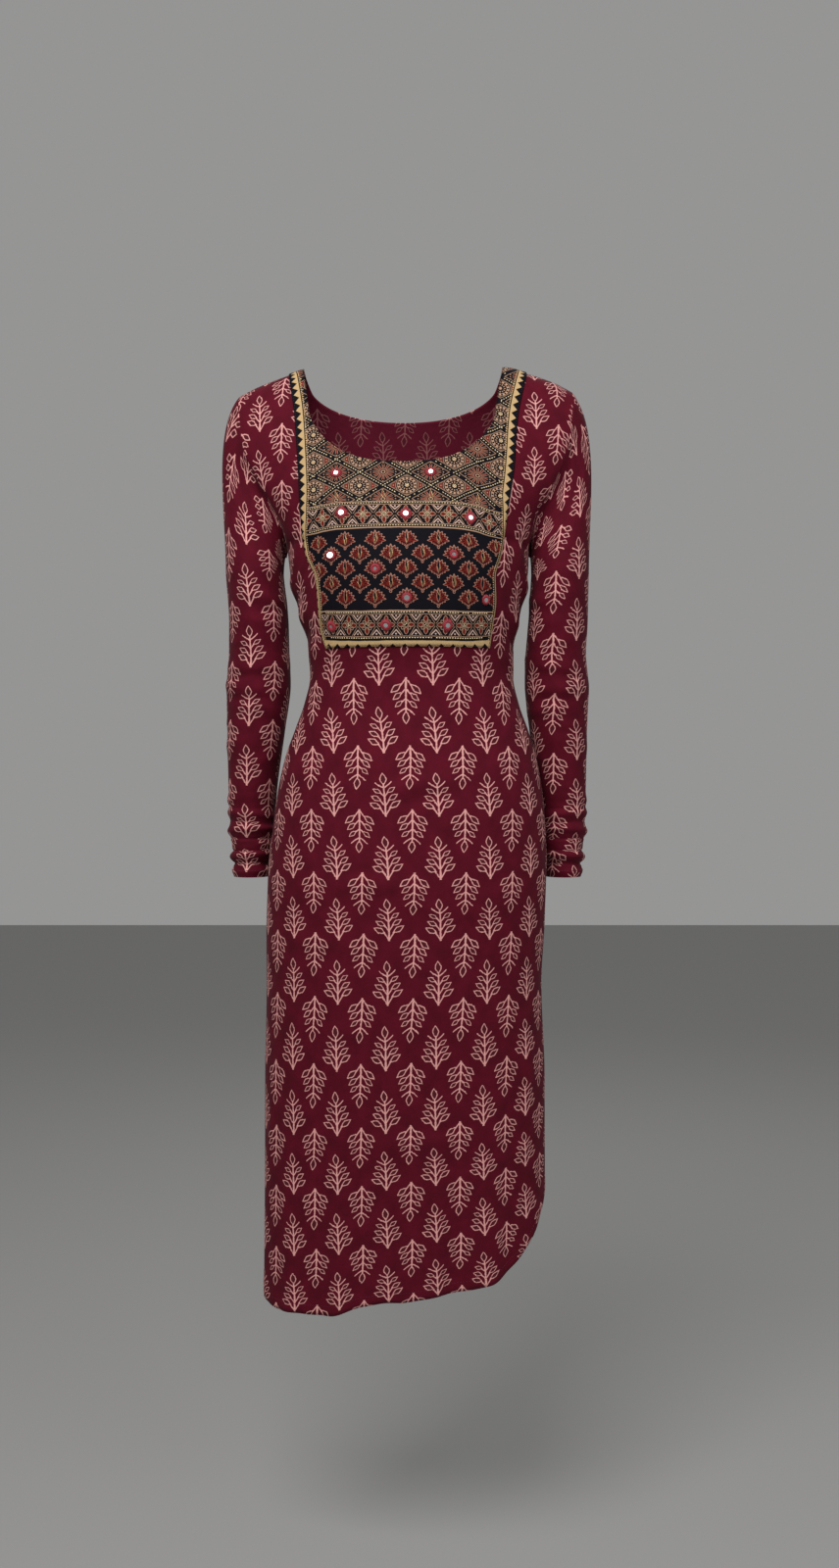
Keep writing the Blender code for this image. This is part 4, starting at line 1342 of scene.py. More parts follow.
def cut_to(shape, *limits):
    """A shape cut back to where all the limits hold too."""
    for limit in limits:
        shape = maths("MAXIMUM", shape, limit)
    return shape


def lattice_shapes(x, down):
    """The lattice of diamonds: its tan and its rose shapes. Every other diamond has a round medallion."""
    pitch_x, pitch_y = LATTICE_PITCH
    across = abs(repeat(x, pitch_x, LATTICE_START[0])) / pitch_x
    along = abs(repeat(down, pitch_y, LATTICE_START[1])) / pitch_y
    reach = across + along
    from_line = abs(reach - 0.5) / math.hypot(1 / pitch_x, 1 / pitch_y)
    medallion = maths("GREATER_THAN", reach, 0.5)
    px = (across - medallion * 0.5) * pitch_x
    py = (along - medallion * 0.5) * pitch_y
    flat_x = px * ROUND_WIDTH
    radius = distance(flat_x, py)
    angle = maths("ARCTAN2", py, flat_x)
    round_tan = nearest(
        radius - CORE,
        cut_to(spokes(angle, radius, *PETAL_SPOKES), band(radius, *PETALS)),
        cut_to(band(radius, *BAND), 0.0 - dot_ring(angle, radius, *BAND_DOTS)),
        band(radius, *INNER_LINE),
        dot_ring(angle, radius, *OUTER_DOTS),
        band(radius, *OUTER_LINE),
    )
    corners = cut_to(CORNERS[0] - radius, radius - CORNERS[1])
    flat_y = py * FLOWER_HEIGHT
    flower = distance(px, flat_y)
    turn = maths("ARCTAN2", flat_y, px)
    petal = spokes(turn, flower, *FLOWER_SPOKES[:2]) - flower * FLOWER_SPOKES[2]
    petals = cut_to(petal, band(flower, *FLOWER_PETALS))
    flower_tan = nearest(
        cut_to(band(petal, *PETAL_OUTLINE), band(flower, *FLOWER_OUTLINE)),
        band(flower, *FLOWER_RING),
        dot_ring(turn, flower, *FLOWER_DOTS),
    )
    clear = LATTICE_CLEAR - from_line
    tan = nearest(
        cut_to(round_tan + (1.0 - medallion) * FAR, clear),
        cut_to(flower_tan + medallion * FAR, clear),
        band(from_line, *LATTICE_LINE),
    )
    rose = nearest(petals + medallion * FAR, corners + (1.0 - medallion) * FAR)
    return tan, cut_to(rose, clear)


def border_shapes(x, down, middle, half_height, pitch, start):
    """A banded border of rosettes with crossings between them: its tan, brick and pink shapes."""
    bx, by = repeat(x, pitch, start), down - middle
    ax, ay = abs(bx), abs(by)
    leaves = nearest(
        leaf(ax - SIDE_LEAF[0], by, *SIDE_LEAF[1:]), leaf(ay - UPPER_LEAF[0], bx, *UPPER_LEAF[1:])
    )
    corner = distance(ax - ROSETTE_CORNER[0], ay - ROSETTE_CORNER[0]) - ROSETTE_CORNER[1]
    crossing = pitch / 2 - ax
    tan = nearest(
        abs(leaves) - LEAF_OUTLINE,
        abs(corner) - CORNER_OUTLINE,
        band(distance(ax, ay), ROSETTE_RING, RING_OUTLINE),
        stroke(crossing, ay, *CROSSING),
    )
    pink = nearest(
        stroke(crossing, ay, PINK_START, (PINK_ACROSS, half_height - PINK_INSET), PINK_HALF_WIDTH),
        distance(crossing, ay - (half_height - PINK_DOT[0])) - PINK_DOT[1],
    )
    inside = abs(by) - half_height + BORDER_INSET
    return cut_to(tan, inside), cut_to(leaves + LEAF_INK_INSET, inside), cut_to(pink, inside)


def fan_shapes(fx, fy):
    """A lotus fan of pointed petals on a short stalk: its clay outline and its brick petals."""
    ax, rise = abs(fx), FAN_LEVEL - fy
    above = maths("GREATER_THAN", rise, 0.0)
    roundness = above * FAN_ROUNDNESS[1] + FAN_ROUNDNESS[0]
    wide = maths("POWER", ax / FAN_HALF_WIDTH, roundness)
    high = maths("POWER", abs(rise) / (above * FAN_HEIGHTS[1] + FAN_HEIGHTS[0]), roundness)
    reach = maths("POWER", wide + high, maths("DIVIDE", 1.0, roundness))
    angle = maths("ARCTAN2", rise, ax)
    count, point = FAN_PETALS
    outside = (reach - 1.0 - maths("COSINE", angle * count) * point) * FAN_MM
    half_gap, gap_start, sharpness = FAN_GAPS
    gaps = spokes(angle, distance(ax, rise), count, half_gap, 0.5)
    gaps = cut_to(gaps, (gap_start - reach) * sharpness)
    stalk = abs(stroke(fx, fy, *FAN_STALK)) - STALK_OUTLINE
    outline = nearest(abs(outside) - FAN_OUTLINE, cut_to(stalk, FAN_STALK_TOP - fy))
    core = leaf(fy + FAN_CORE[0], fx, *FAN_CORE[1:])
    brick = cut_to(outside + FAN_INK_INSET, 0.0 - gaps, 0.0 - core)
    return nearest(outline, abs(core) - CORE_OUTLINE), brick


def bib_print_group():
    """The yoke's print. Cut is millimetres across and down it, and Edge those from and along its edge."""
    tree, given, result = node_group(
        "bib_print", {"Cut": VECTOR, "Edge": VECTOR}, {"Color": COLOUR, "Ink": FLOAT}
    )
    x, down = split(tree, given.outputs["Cut"])
    from_edge, along = split(tree, given.outputs["Edge"])
    fineness, wide, high = YOKE_WAVER
    waver = noise(tree, given.outputs["Cut"], fineness, 1.0)
    x, down = x + (waver - 0.5) * wide, down + (waver - 0.5) * high
    body = PRINT_EDGE - from_edge

    lattice_tan, lattice_rose = lattice_shapes(x, down)
    in_lattice = down - LATTICE_END
    tan = [cut_to(lattice_tan, in_lattice)]
    brick, clay, pink = [], [], []
    for border in BORDERS:
        border_tan, border_brick, border_pink = border_shapes(x, down, *border)
        tan.append(border_tan)
        brick.append(border_brick)
        pink.append(border_pink)
    in_field = abs(down - sum(FIELD) / 2) - (FIELD[1] - FIELD[0]) / 2
    for start_x, start_down, rows in FAN_STARTS:
        fan_x = repeat(x, FAN_PITCH[0], start_x)
        fan_clay, fan_brick = fan_shapes(fan_x, repeat(down, FAN_PITCH[1], start_down, rows))
        clay.append(cut_to(fan_clay, in_field))
        brick.append(cut_to(fan_brick, in_field))
    tan += [band(down, *line) for line in THIN_LINES]

    pitch, tips, height = EDGE_TEETH
    tooth = (abs(repeat(along, pitch)) / (pitch / 2)).clip(0, 1)
    side = cut_to(from_edge - EDGE_STRIP, tooth * height + tips - from_edge)
    pitch, foot_edge, gap, slope = FOOT_TEETH
    foot_tooth = foot_edge - down - gap + abs(repeat(x, pitch)) * slope
    foot = cut_to(FOOT_STRIP - down, 0.0 - foot_tooth, FOOT_STRIP_EDGE - from_edge)
    dots_level, pitch, dot = EDGE_DOTS
    edge_dots = distance(from_edge - dots_level, repeat(along, pitch)) - dot

    worn = noise(tree, given.outputs["Cut"], 0.9, 2.0)
    print_wear = 1.0 - ((worn - 0.5) * 1.6).clip(0, 0.4)
    inks = (
        (cut_to(nearest(*brick), body), BRICK),
        (cut_to(lattice_rose, in_lattice, body), ROSE),
        (cut_to(nearest(*clay), body), CLAY),
        (cut_to(nearest(*tan), body), TAN),
        (cut_to(nearest(*pink), body), PINK),
        (nearest(side, foot, edge_dots), BEIGE),
    )
    colour, cover = BLACK, None
    for shape, ink in inks:
        mask = shape.within(0.28) * print_wear
        colour = mixed(tree, mask, colour, ink)
        cover = mask if cover is None else maths("MAXIMUM", cover, mask)
    tree.links.new(colour, result.inputs["Color"])
    tree.links.new(cover.socket, result.inputs["Ink"])
    return tree


def bib_cotton():
    """Black cotton with the yoke's print: a firmer, closer weave than the tunic's own."""
    material, shader = plain_finish("yoke_cotton", BLACK, 0.78)
    shader.inputs["Specular IOR Level"].default_value = 0.08
    tree = material.node_tree
    cut = uv_map(tree, "cut")
    pattern = place_group(tree, bib_print_group(), Cut=cut, Edge=uv_map(tree, "edge"))
    tree.links.new(pattern.outputs["Color"], shader.inputs["Base Color"])
    weave = place_group(tree, plain_weave, Place=cut, Warp=YOKE_THREADS[0], Weft=YOKE_THREADS[1])
    rumple = noise(tree, cut, 0.06, 2.0)
    height = rumple * 1.2 + Signal(tree, weave.outputs["Height"]) * 0.08
    add_bump(tree, shader, height + Signal(tree, pattern.outputs["Ink"]) * 0.10)
    return material


def yoke_maps(turns, drops):
    """The yoke's two maps: its print, and the distance from the nearest long edge and along it."""
    cut = yoke_place(turns, drops)
    across = cut[..., 0]
    rows = np.array(YOKE_TURNED, float)
    levels = lengths_along(yoke_points[:, 0]) * 1000
    turned = [np.interp(drops * 1000, rows[:, 0], rows[:, column]) for column in (1, 2)]
    from_left = across - across[:, :1] + turned[0]
    from_right = across[:, -1:] - across + turned[1]
    along = np.broadcast_to(levels[:, None], across.shape)
    return {"cut": cut, "edge": np.stack([np.minimum(from_left, from_right), along], axis=-1)}


yoke_rows = slice(0, ARMHOLE_ROWS + 1 + WAIST_ROWS)
yoke_part = (yoke_rows, slice(yoke_left, yoke_right + 1))
yoke_facing = front_facing[yoke_part]
yoke_points = front_points[yoke_part] + yoke_facing * (LAID_GAP + YOKE_CLOTH)
yoke_uv = yoke_maps(front_turns[yoke_part], front_drops[yoke_part])
yoke_piece = cloth_shell("yoke_cloth", yoke_points, yoke_facing, YOKE_CLOTH, bib_cotton(), yoke_uv)
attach(yoke_piece, "root")
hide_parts("yoke")

# Mirrors: thirteen small round glass mirrors, laid on the yoke a little unevenly and held down by
# their rings of red thread.
MIRROR_RADIUS = 0.0041
MIRROR_THICKNESS = 0.0009
MIRROR_BEVEL = 0.0002
MIRROR_SEGMENTS = 32
MIRROR_WORK = (
    # x, drop, tilt across, tilt up in degrees, then millimetres: inner, reach across, reach up, points
    (-0.0797, 0.1370, 0.0, 0.0, 2.4, 7.6, 5.6, 0.6),
    (0.0293, 0.1370, 7.0, -3.0, 2.4, 8.0, 5.8, 0.6),
    (-0.0726, 0.1850, -6.5, 3.5, 3.0, 8.6, 8.8, 1.8),
    (0.0007, 0.1880, -2.0, 2.0, 2.9, 8.4, 9.0, 1.9),
    (0.0745, 0.1910, 0.0, 0.0, 2.9, 7.8, 8.8, 1.8),
    (-0.0842, 0.2340, -19.0, 9.5, 3.3, 5.4, 6.2, 0.0),
    (0.0548, 0.2350, 2.0, 7.0, 2.3, 5.0, 6.0, 0.0),
    (-0.0333, 0.2510, 2.0, -4.0, 2.0, 6.2, 6.2, 0.0),
    (0.0020, 0.2840, -2.0, -3.0, 3.0, 6.0, 6.4, 0.0),
    (0.0915, 0.2840, 3.0, 0.0, 2.6, 4.8, 6.2, 0.0),
    (-0.0840, 0.3130, -5.0, -4.0, 1.8, 6.0, 7.8, 0.4),
    (-0.0213, 0.3140, 3.0, -9.0, 2.6, 7.4, 8.0, 1.0),
    (0.0480, 0.3140, -2.0, -3.0, 2.8, 6.8, 8.6, 1.2),
)


def on_yoke(x, drop):
    """Points on the yoke's face, and the way that it faces there."""
    x, drop = np.broadcast_arrays(np.asarray(x, float), np.asarray(drop, float))
    points, facing = panel_surface(FRONT, -1, FRONT_RELIEF, turn_at(x, drop), drop)
    return points + facing * (LAID_GAP + YOKE_CLOTH), facing


def level_frame(facing):
    """Unit vectors across and up, at right angles to a facing."""
    across = unit(np.cross(facing, (0.0, 0.0, 1.0)))
    return across, np.cross(across, facing)


def add_mesh(name, points, faces, material, smooth=True):
    mesh = bpy.data.meshes.new(name)
    mesh.from_pydata(np.asarray(points).tolist(), [], faces)
    mesh.materials.append(material)
    if smooth:
        mesh.shade_smooth()
    return added(name, mesh)


def mirror_seat(x, drop, tilt_across, tilt_up):
    """The middle of a mirror's back, and the ways across, up and out of its tilted face."""
    point, facing = (part[0] for part in on_yoke([x], [drop]))
    across, up = level_frame(facing)
    out = unit(facing + across * math.tan(math.radians(tilt_across)) + up * math.tan(math.radians(tilt_up)))
    raised = LAID_GAP + MIRROR_RADIUS * math.sin(math.radians(math.hypot(tilt_across, tilt_up)))
    across, up = level_frame(out)
    return point + facing * raised, across, up, out


def mirror_glass():
    """Silvered glass, with faint specks that dull it."""
    material, shader = plain_finish("mirror_glass", (0.70, 0.71, 0.72), 0.07, 1.0)
    tree = material.node_tree
    place = tree.nodes.new("ShaderNodeTexCoord").outputs["Object"]
    specks = ((noise(tree, place, 700.0, 3.0) - 0.55) * 1.4).clip(0, 0.35)
    tree.links.new((specks + 0.06).socket, shader.inputs["Roughness"])
    return material


def mirror(name, row, material):
    """One mirror: a thin disc whose front rim is bevelled."""
    seat, across, up, out = mirror_seat(*row[:4])
    angles = np.linspace(0, 2 * np.pi, MIRROR_SEGMENTS, endpoint=False)[:, None]
    ring = across * np.cos(angles) + up * np.sin(angles)
    profile = (
        (MIRROR_RADIUS, 0.0),
        (MIRROR_RADIUS, MIRROR_THICKNESS - MIRROR_BEVEL),
        (MIRROR_RADIUS - MIRROR_BEVEL, MIRROR_THICKNESS),
    )
    points = np.concatenate([seat + ring * radius + out * height for radius, height in profile])
    count = MIRROR_SEGMENTS
    faces = [tuple(range(count))[::-1], tuple(range(2 * count, 3 * count))]
    for step in (0, count):
        for a in range(count):
            b = (a + 1) % count
            faces.append((a + step, b + step, b + step + count, a + step + count))
    return add_mesh(name, points, faces, material, smooth=False)


glass = mirror_glass()
for number, row in enumerate(MIRROR_WORK, 1):
    mirror_piece = mirror(f"mirror_{number:02d}_glass", row, glass)
    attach(mirror_piece, "root")
    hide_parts(f"mirror_{number:02d}")

# Red thread: straight stitches of glossy cotton thread set close together round each mirror, from its
# glass down to the yoke. Where the print has a rosette, they reach out to its four points.
RING_STITCHES = 38
RING_THREAD = (0.00046, 0.00034)  # half its width and half its height
RING_OVER = 0.00035  # how far the thread's middle lies over the glass
RING_BEND = (0.0002, 0.95)  # past the glass's rim, and the share of its height there
RING_FALL = 0.0004  # past the rim, from where the thread goes down
RING_SHARES = (0.45, 1.0)  # places on the way down, and their heights over the yoke
RING_HEIGHTS = (0.00085, 0.0001)
THREAD_SIDES = 6
THREAD_TAPER = 0.4
RED_THREAD = (0.430, 0.0075, 0.026)
RED_THREAD_DEEP = (0.240, 0.0040, 0.014)


def threads(name, paths, facings, half_width, half_height, material):
    """Short threads joined in one mesh: each runs along its path's points, thinner at both ends."""
    count, steps = paths.shape[:2]
    sides = THREAD_SIDES
    along = unit(np.gradient(paths, axis=1))
    beside = unit(np.cross(along, facings[:, None, :]))
    up = np.cross(beside, along)
    taper = np.ones(steps)
    taper[[0, -1]] = THREAD_TAPER
    angles = np.linspace(0, 2 * np.pi, sides, endpoint=False)[:, None]
    ring = (
        beside[:, :, None] * np.cos(angles) * half_width + up[:, :, None] * np.sin(angles) * half_height
    ) * taper[None, :, None, None]
    points = (paths[:, :, None] + ring).reshape(-1, 3)
    start, step, side = np.indices((count, steps - 1, sides))
    base = (start * steps + step) * sides
    other = (side + 1) % sides
    quads = np.stack([base + side, base + sides + side, base + sides + other, base + other], axis=-1)
    first = np.arange(count)[:, None] * steps * sides + np.arange(sides)
    caps = np.concatenate([first, (first + (steps - 1) * sides)[:, ::-1]])
    return add_mesh(name, points, quads.reshape(-1, 4).tolist() + caps.tolist(), material)


def thread_finish(name, colour, deep, roughness, metallic=0.0):
    """A thread's material: its colour changes a little from stitch to stitch."""
    material, shader = plain_finish(name, colour, roughness, metallic)
    tree = material.node_tree
    place = tree.nodes.new("ShaderNodeTexCoord").outputs["Object"]
    share = ((noise(tree, place, 900.0, 2.0) - 0.35) * 2.6).clip(0, 1)
    tree.links.new(mixed(tree, share, deep, colour), shader.inputs["Base Color"])
    return material, shader


def ring_stitches(row):
    """The paths of one mirror's stitches, and the way that the cloth faces there."""
    x, drop = row[:2]
    inner, reach_across, reach_up, points = row[4:]
    seat, across, up, out = mirror_seat(*row[:4])
    angles = np.linspace(0, 2 * np.pi, RING_STITCHES, endpoint=False)
    angles = angles + chance.uniform(-0.03, 0.03, RING_STITCHES)
    drawn_in = points * np.sin(2 * angles) ** 2 + chance.uniform(-0.3, 0.3, RING_STITCHES)
    far = (np.hypot(reach_across * np.cos(angles), reach_up * np.sin(angles)) - drawn_in) / 1000
    near = (inner + chance.uniform(-0.15, 0.15, RING_STITCHES)) / 1000
    way = across * np.cos(angles)[:, None] + up * np.sin(angles)[:, None]
    over = MIRROR_THICKNESS + RING_OVER
    start = seat + way * near[:, None] + out * over
    bend = seat + way * (MIRROR_RADIUS + RING_BEND[0]) + out * over * RING_BEND[1]
    fall = MIRROR_RADIUS + RING_FALL
    reaches = fall + (far - fall)[:, None] * np.array(RING_SHARES)
    cloth_x = x + reaches * way[:, None, 0]
    cloth_drop = drop - reaches * way[:, None, 2]
    laid = on_yoke(cloth_x, cloth_drop)[0]
    laid = laid + out * np.array(RING_HEIGHTS)[:, None]
    facing = np.broadcast_to(out, (RING_STITCHES, 3))
    return np.concatenate([start[:, None], bend[:, None], laid], axis=1), facing


chance = np.random.default_rng(11)
rings = [ring_stitches(row) for row in MIRROR_WORK]
red_thread, red_shader = thread_finish("red_thread", RED_THREAD, RED_THREAD_DEEP, 0.5)
red_shader.inputs["Sheen Weight"].default_value = 0.2
ring_piece = threads(
    "mirror_stitching", *(np.concatenate(part) for part in zip(*rings)), *RING_THREAD, red_thread
)
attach(ring_piece, "root")

# Gold work: small gilt beads sewn along the lattice and the borders' edges and in the middles of the
# medallions and rosettes, and a few strands of gilt thread across each lotus fan.
GOLD = (1.000, 0.870, 0.600)
GOLD_DULL = (0.780, 0.600, 0.320)
BEAD_PITCH = 3.1
BEAD_HALF_SIZES = (1.20, 0.74, 0.60)  # along, across and up, in millimetres
ROUND_BEAD = 0.78
BEAD_LIFT = 0.0003  # how far a bead's middle lies over the yoke
CLUSTERS = {7: 1.95, 6: 1.95, 3: 1.2}  # beads round a middle: how far from it, in millimetres
MEDALLION_BEADS = 7
BORDER_BEADS = (6, 3)  # round each rosette's middle, in the upper and the lower border
MIDDLE_BEAD_FROM = 6  # a ring of so many beads has one in its middle too
BEAD_LINES = (174.7, 201.6, 300.0, 328.4)
GILT = (0.80, 0.58, 0.28)
GILT_DEEP = (0.34, 0.21, 0.08)
HALF_FLOWERS_DOWN = 165.5
STRAND = (0.00032, 0.00024)  # half its width and half its height
STRAND_BOW = 0.5
STRAND_HEIGHTS = (0.0002, 0.00035)  # over the yoke at its ends, and how much more at its middle
STRAND_LOSS = 0.12
STRANDS = (
    # across and down at the upper end, then at the lower end, in millimetres from a fan's middle
    (-2.2, -2.6, 0.2, 5.8),
    (-0.9, -7.8, 1.7, 0.8),
    (0.9, -5.0, 2.5, 3.4),
)


def on_print(across, down, lift=0.0):
    """Points on the yoke's face, and the way it faces, at millimetres across and down its print."""
    drop = down / 1000
    turn = turn_at(across / 1000, drop)
    for _ in range(7):
        drop = (down + yoke_sag(across, drop * 1000)) / 1000
        short = across / 1000 - cloth_round(FRONT, -1, turn, drop)[0] - smooth_curve(BODY, 1, drop)
        turn = turn + short / (smooth_curve(BODY, 2, drop) * np.cos(turn))
    points, facing = panel_surface(FRONT, -1, FRONT_RELIEF, turn, drop)
    return points + facing * (LAID_GAP + YOKE_CLOTH + lift), facing


def clear_of_mirrors(points, room):
    """Which points lie away from every mirror's ring."""
    middles = np.array([on_yoke([row[0]], [row[1]])[0][0] for row in MIRROR_WORK])
    return np.linalg.norm(points[:, None] - middles, axis=-1).min(axis=1) > room


def within_yoke(points, edge):
    """Which points lie inside the yoke's long edges by so much, and below the neckline."""
    drop = -points[:, 2]
    inside = points[:, 0] > smooth_curve(YOKE_EDGES, 1, drop) + edge
    inside &= points[:, 0] < smooth_curve(YOKE_EDGES, 2, drop) - edge
    across, neck_drops = scoop(*FRONT_NECK, NECK_COLUMNS)
    inside &= (drop > np.interp(points[:, 0], across, neck_drops, 0, 0) + 0.002) & (drop < YOKE_BOTTOM)
    return inside & (drop > shoulder_drop(points[:, 0]) + 0.003)


def joined_beads(name, middles, facings, ahead, sizes, material):
    """Beads joined in one mesh. Each lies along the cloth, and its sizes are along, across and up."""
    ball = bmesh.new()
    bmesh.ops.create_icosphere(ball, subdivisions=1, radius=1.0)
    corners = np.array([corner.co[:] for corner in ball.verts])
    faces = np.array([[corner.index for corner in face.verts] for face in ball.faces])
    ball.free()
    ahead = unit(ahead - facings * (ahead * facings).sum(axis=-1, keepdims=True))
    frames = np.stack([ahead, np.cross(facings, ahead), facings], axis=1) * sizes[:, :, None]
    points = middles[:, None] + corners @ frames
    faces = faces[None] + (np.arange(len(middles)) * len(corners))[:, None, None]
    return add_mesh(name, points.reshape(-1, 3), faces.reshape(-1, 3).tolist(), material)


def lattice_bead_places():
    """Beads along the lattice's slanted lines: their places on the print and the places just ahead."""
    pitch_x, pitch_y = LATTICE_PITCH
    step = BEAD_PITCH / math.hypot(pitch_x, pitch_y)
    along = np.arange(-1.2, 4.4, step)
    places, ahead = [], []
    for line in range(-8, 9):
        for way in (1, -1):
            line_along = along + chance.uniform(-0.3, 0.3) * step
            across = LATTICE_START[0] + line_along * pitch_x
            down = LATTICE_START[1] + (line + 0.5 - way * line_along) * pitch_y
            places.append(np.stack([across, down], axis=1))
            ahead.append(np.tile([pitch_x, -way * pitch_y], (len(along), 1)))
    places, ahead = np.concatenate(places), np.concatenate(ahead)
    kept = (places[:, 1] < LATTICE_END - 1.0) & (places[:, 1] > 0)
    return places[kept], ahead[kept]


def border_bead_places():
    across = np.arange(-125, 125, BEAD_PITCH)
    places = np.array([(x, level) for level in BEAD_LINES for x in across])
    return places, np.tile([1.0, 0.0], (len(places), 1))


def cluster_places():
    """Round beads in the medallions' and rosettes' middles."""
    (start_x, start_y), (pitch_x, pitch_y) = LATTICE_START, LATTICE_PITCH
    middles = [
        (start_x + (column + 0.5) * pitch_x, start_y + (row + 0.5) * pitch_y, MEDALLION_BEADS)
        for column in range(-2, 5) for row in range(-4, 1)
    ]
    for (middle, _, pitch, start), count in zip(BORDERS, BORDER_BEADS):
        middles += [(start + column * pitch, middle, count) for column in range(-5, 6)]
    places = []
    for across, down, count in middles:
        angles = np.arange(count) * 2 * np.pi / count + chance.uniform(0, 1)
        radius = CLUSTERS[count]
        places += [(across + radius * math.cos(a), down + radius * math.sin(a)) for a in angles]
        if count >= MIDDLE_BEAD_FROM:
            places.append((across, down))
    return np.array(places)


# Metres in from the yoke's long edges, metres from a mirror's middle, and the share that is lost
LATTICE_BEADS = (0.0115, 0.0072, 0.10)
BORDER_LINE_BEADS = (0.0085, 0.0080, 0.05)
ROUND_BEADS = (0.0085, 0.0085, 0.12)
BEAD_SPREAD = (0.86, 1.12)  # the smallest and the largest, as a share of the usual size


def laid_beads(places, ahead, sizes, edge, room, loss):
    """The beads of these places that lie on the yoke and haven't been lost."""
    points, facings = on_print(*places.T, BEAD_LIFT)
    ahead_points = on_print(*(places + unit(ahead) * 0.5).T, BEAD_LIFT)[0]
    kept = within_yoke(points, edge) & clear_of_mirrors(points, room)
    kept &= chance.uniform(size=len(points)) > loss
    size = np.array(sizes) / 1000 * chance.uniform(*BEAD_SPREAD, (len(points), 1))
    return points[kept], facings[kept], (ahead_points - points)[kept], size[kept]


lattice_beads = laid_beads(*lattice_bead_places(), BEAD_HALF_SIZES, *LATTICE_BEADS)
border_beads = laid_beads(*border_bead_places(), BEAD_HALF_SIZES, *BORDER_LINE_BEADS)
clusters = cluster_places()
cluster_ahead = np.tile([1.0, 0.0], (len(clusters), 1))
round_beads = laid_beads(clusters, cluster_ahead, (ROUND_BEAD,) * 3, *ROUND_BEADS)
gold, _ = thread_finish("gilt_beads", GOLD, GOLD_DULL, 0.34, 0.35)
bead_parts = zip(lattice_beads, border_beads, round_beads)
bead_piece = joined_beads("gold_beads", *(np.concatenate(part) for part in bead_parts), gold)
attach(bead_piece, "root")


def strand_paths():
    """Gilt strands across the fans and in the half flowers above the upper border."""
    pitch_x, pitch_y = FAN_PITCH
    middles = [
        (start_x + column * pitch_x, start_down + row * pitch_y)
        for start_x, start_down, rows in FAN_STARTS for row in range(rows) for column in range(-4, 4)
    ]
    middles += [(LATTICE_START[0] + column * LATTICE_PITCH[0], HALF_FLOWERS_DOWN) for column in range(4)]
    paths, facings = [], []
    shares = np.linspace(0, 1, 5)
    for across, down in middles:
        lean = chance.uniform(-1.2, 1.2)
        for x0, y0, x1, y1 in STRANDS:
            if chance.uniform() < STRAND_LOSS:
                continue
            x0, x1 = x0 + lean + chance.uniform(-0.5, 0.5), x1 - lean + chance.uniform(-0.5, 0.5)
            arch = np.sin(np.pi * shares)
            strand_x = across + x0 + (x1 - x0) * shares + STRAND_BOW * arch
            points, facing = on_print(strand_x, down + y0 + (y1 - y0) * shares)
            paths.append(points + facing * (STRAND_HEIGHTS[0] + STRAND_HEIGHTS[1] * arch)[:, None])
            facings.append(facing[2])
    paths, facings = np.array(paths), np.array(facings)
    kept = within_yoke(paths[:, 2], 0.006) & clear_of_mirrors(paths[:, 2], 0.0095)
    return paths[kept], facings[kept]


gilt, _ = thread_finish("gilt_thread", GILT, GILT_DEEP, 0.36, 0.6)
strand_piece = threads("gold_strands", *strand_paths(), *STRAND, gilt)
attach(strand_piece, "root")

# Stitching: machine stitches in thread of the cloth's colour, where the hems and cuffs are turned in
# and where the yoke is sewn down.
STITCH_PITCH = 0.0034
STITCH_LENGTH = 0.0025
STITCH_THREAD = (0.00022, 0.00018)  # half its width and half its height
STITCH_HEIGHTS = (0.0001, 0.0002)  # over the cloth at its ends, and how much more at its middle
HEM_STITCH_INSET = 0.001  # below the turned edge
HEM_STITCH_TURN = 1.52  # the hem's stitches stop short of the side seams
YOKE_STITCH_INSET = 0.0014
YOKE_STITCH_TOP = 0.024
NECK_STITCH_INSET = 0.0022
NECK_STITCHES = slice(3, -3)  # of the neckline's points
HEM_THREAD = ((0.20, 0.020, 0.050), (0.12, 0.010, 0.028))  # its colour, and its deeper one
YOKE_THREAD = ((0.030, 0.024, 0.026), (0.012, 0.010, 0.012))


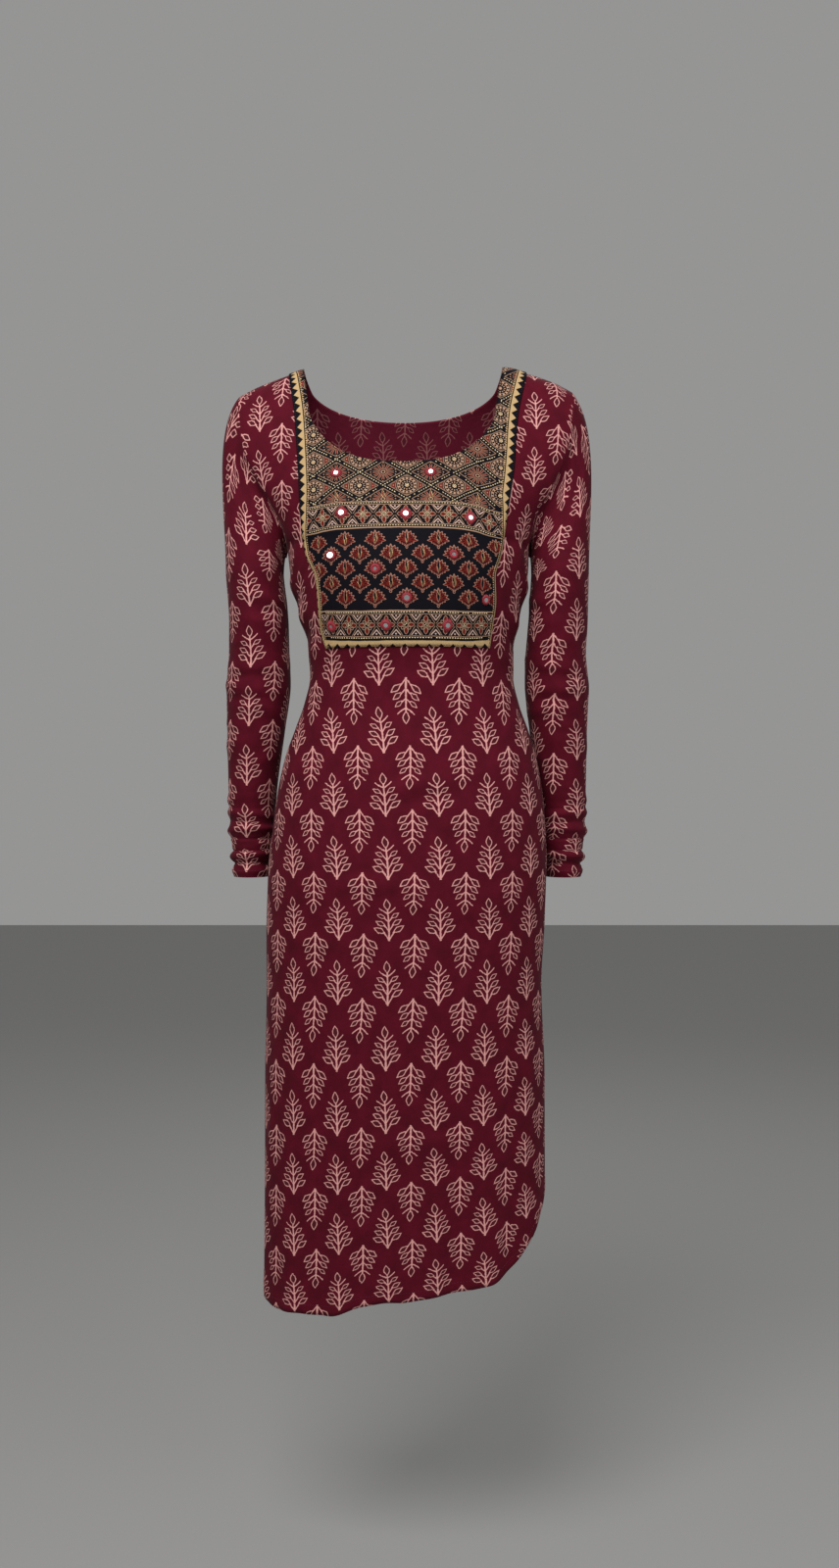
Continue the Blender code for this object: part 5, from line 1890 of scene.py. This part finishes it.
def stitch_run(points, facings):
    """Short stitches along a line of points."""
    reach = lengths_along(points)
    starts = np.arange(STITCH_PITCH / 2, reach[-1] - STITCH_LENGTH, STITCH_PITCH)
    shares = np.array([0.0, 0.5, 1.0])
    at = starts[:, None] + STITCH_LENGTH * shares
    lift = STITCH_HEIGHTS[0] + STITCH_HEIGHTS[1] * np.sin(np.pi * shares)
    paths = np.stack([np.interp(at, reach, points[:, axis]) for axis in range(3)], axis=-1)
    ways = unit(np.stack([np.interp(at, reach, facings[:, axis]) for axis in range(3)], axis=-1))
    return paths + ways * lift[:, None], ways[:, 1]


def hem_stitches(cloth):
    turns = np.linspace(-HEM_STITCH_TURN, HEM_STITCH_TURN, 500)
    drops = by_turn(cloth[-1], turns) - HEM_TURN + HEM_STITCH_INSET
    return stitch_run(*hemmed_surface(*cloth, turns, drops))


def yoke_edge_stitches():
    """The lines that hold the yoke down, close to its edges."""
    inset = YOKE_STITCH_INSET
    drops = np.linspace(YOKE_STITCH_TOP, YOKE_BOTTOM - 0.0015, 240)
    lines = []
    for column, way in ((1, 1), (2, -1)):
        lines.append((smooth_curve(YOKE_EDGES, column, drops) + way * inset, drops))
    _, foot_left, foot_right = YOKE_EDGES[-1]
    lines.append((np.linspace(foot_left + inset, foot_right - inset, 160), YOKE_BOTTOM - inset))
    across, drops = scoop(*FRONT_NECK, NECK_COLUMNS)
    lines.append((across[NECK_STITCHES], drops[NECK_STITCHES] + NECK_STITCH_INSET))
    return [stitch_run(*on_yoke(*line)) for line in lines]


hem_runs = [hem_stitches(cloth) for cloth in (FRONT_CLOTH, BACK_CLOTH)]
hem_runs += [stitch_run(*line) for line in cuff_lines]
for name, runs, colours in (
    ("hem_stitching", hem_runs, HEM_THREAD),
    ("yoke_stitching", yoke_edge_stitches(), YOKE_THREAD),
):
    thread, _ = thread_finish(name, *colours, 0.6)
    stitch_piece = threads(name, *(np.concatenate(part) for part in zip(*runs)), *STITCH_THREAD, thread)
    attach(stitch_piece, "root")
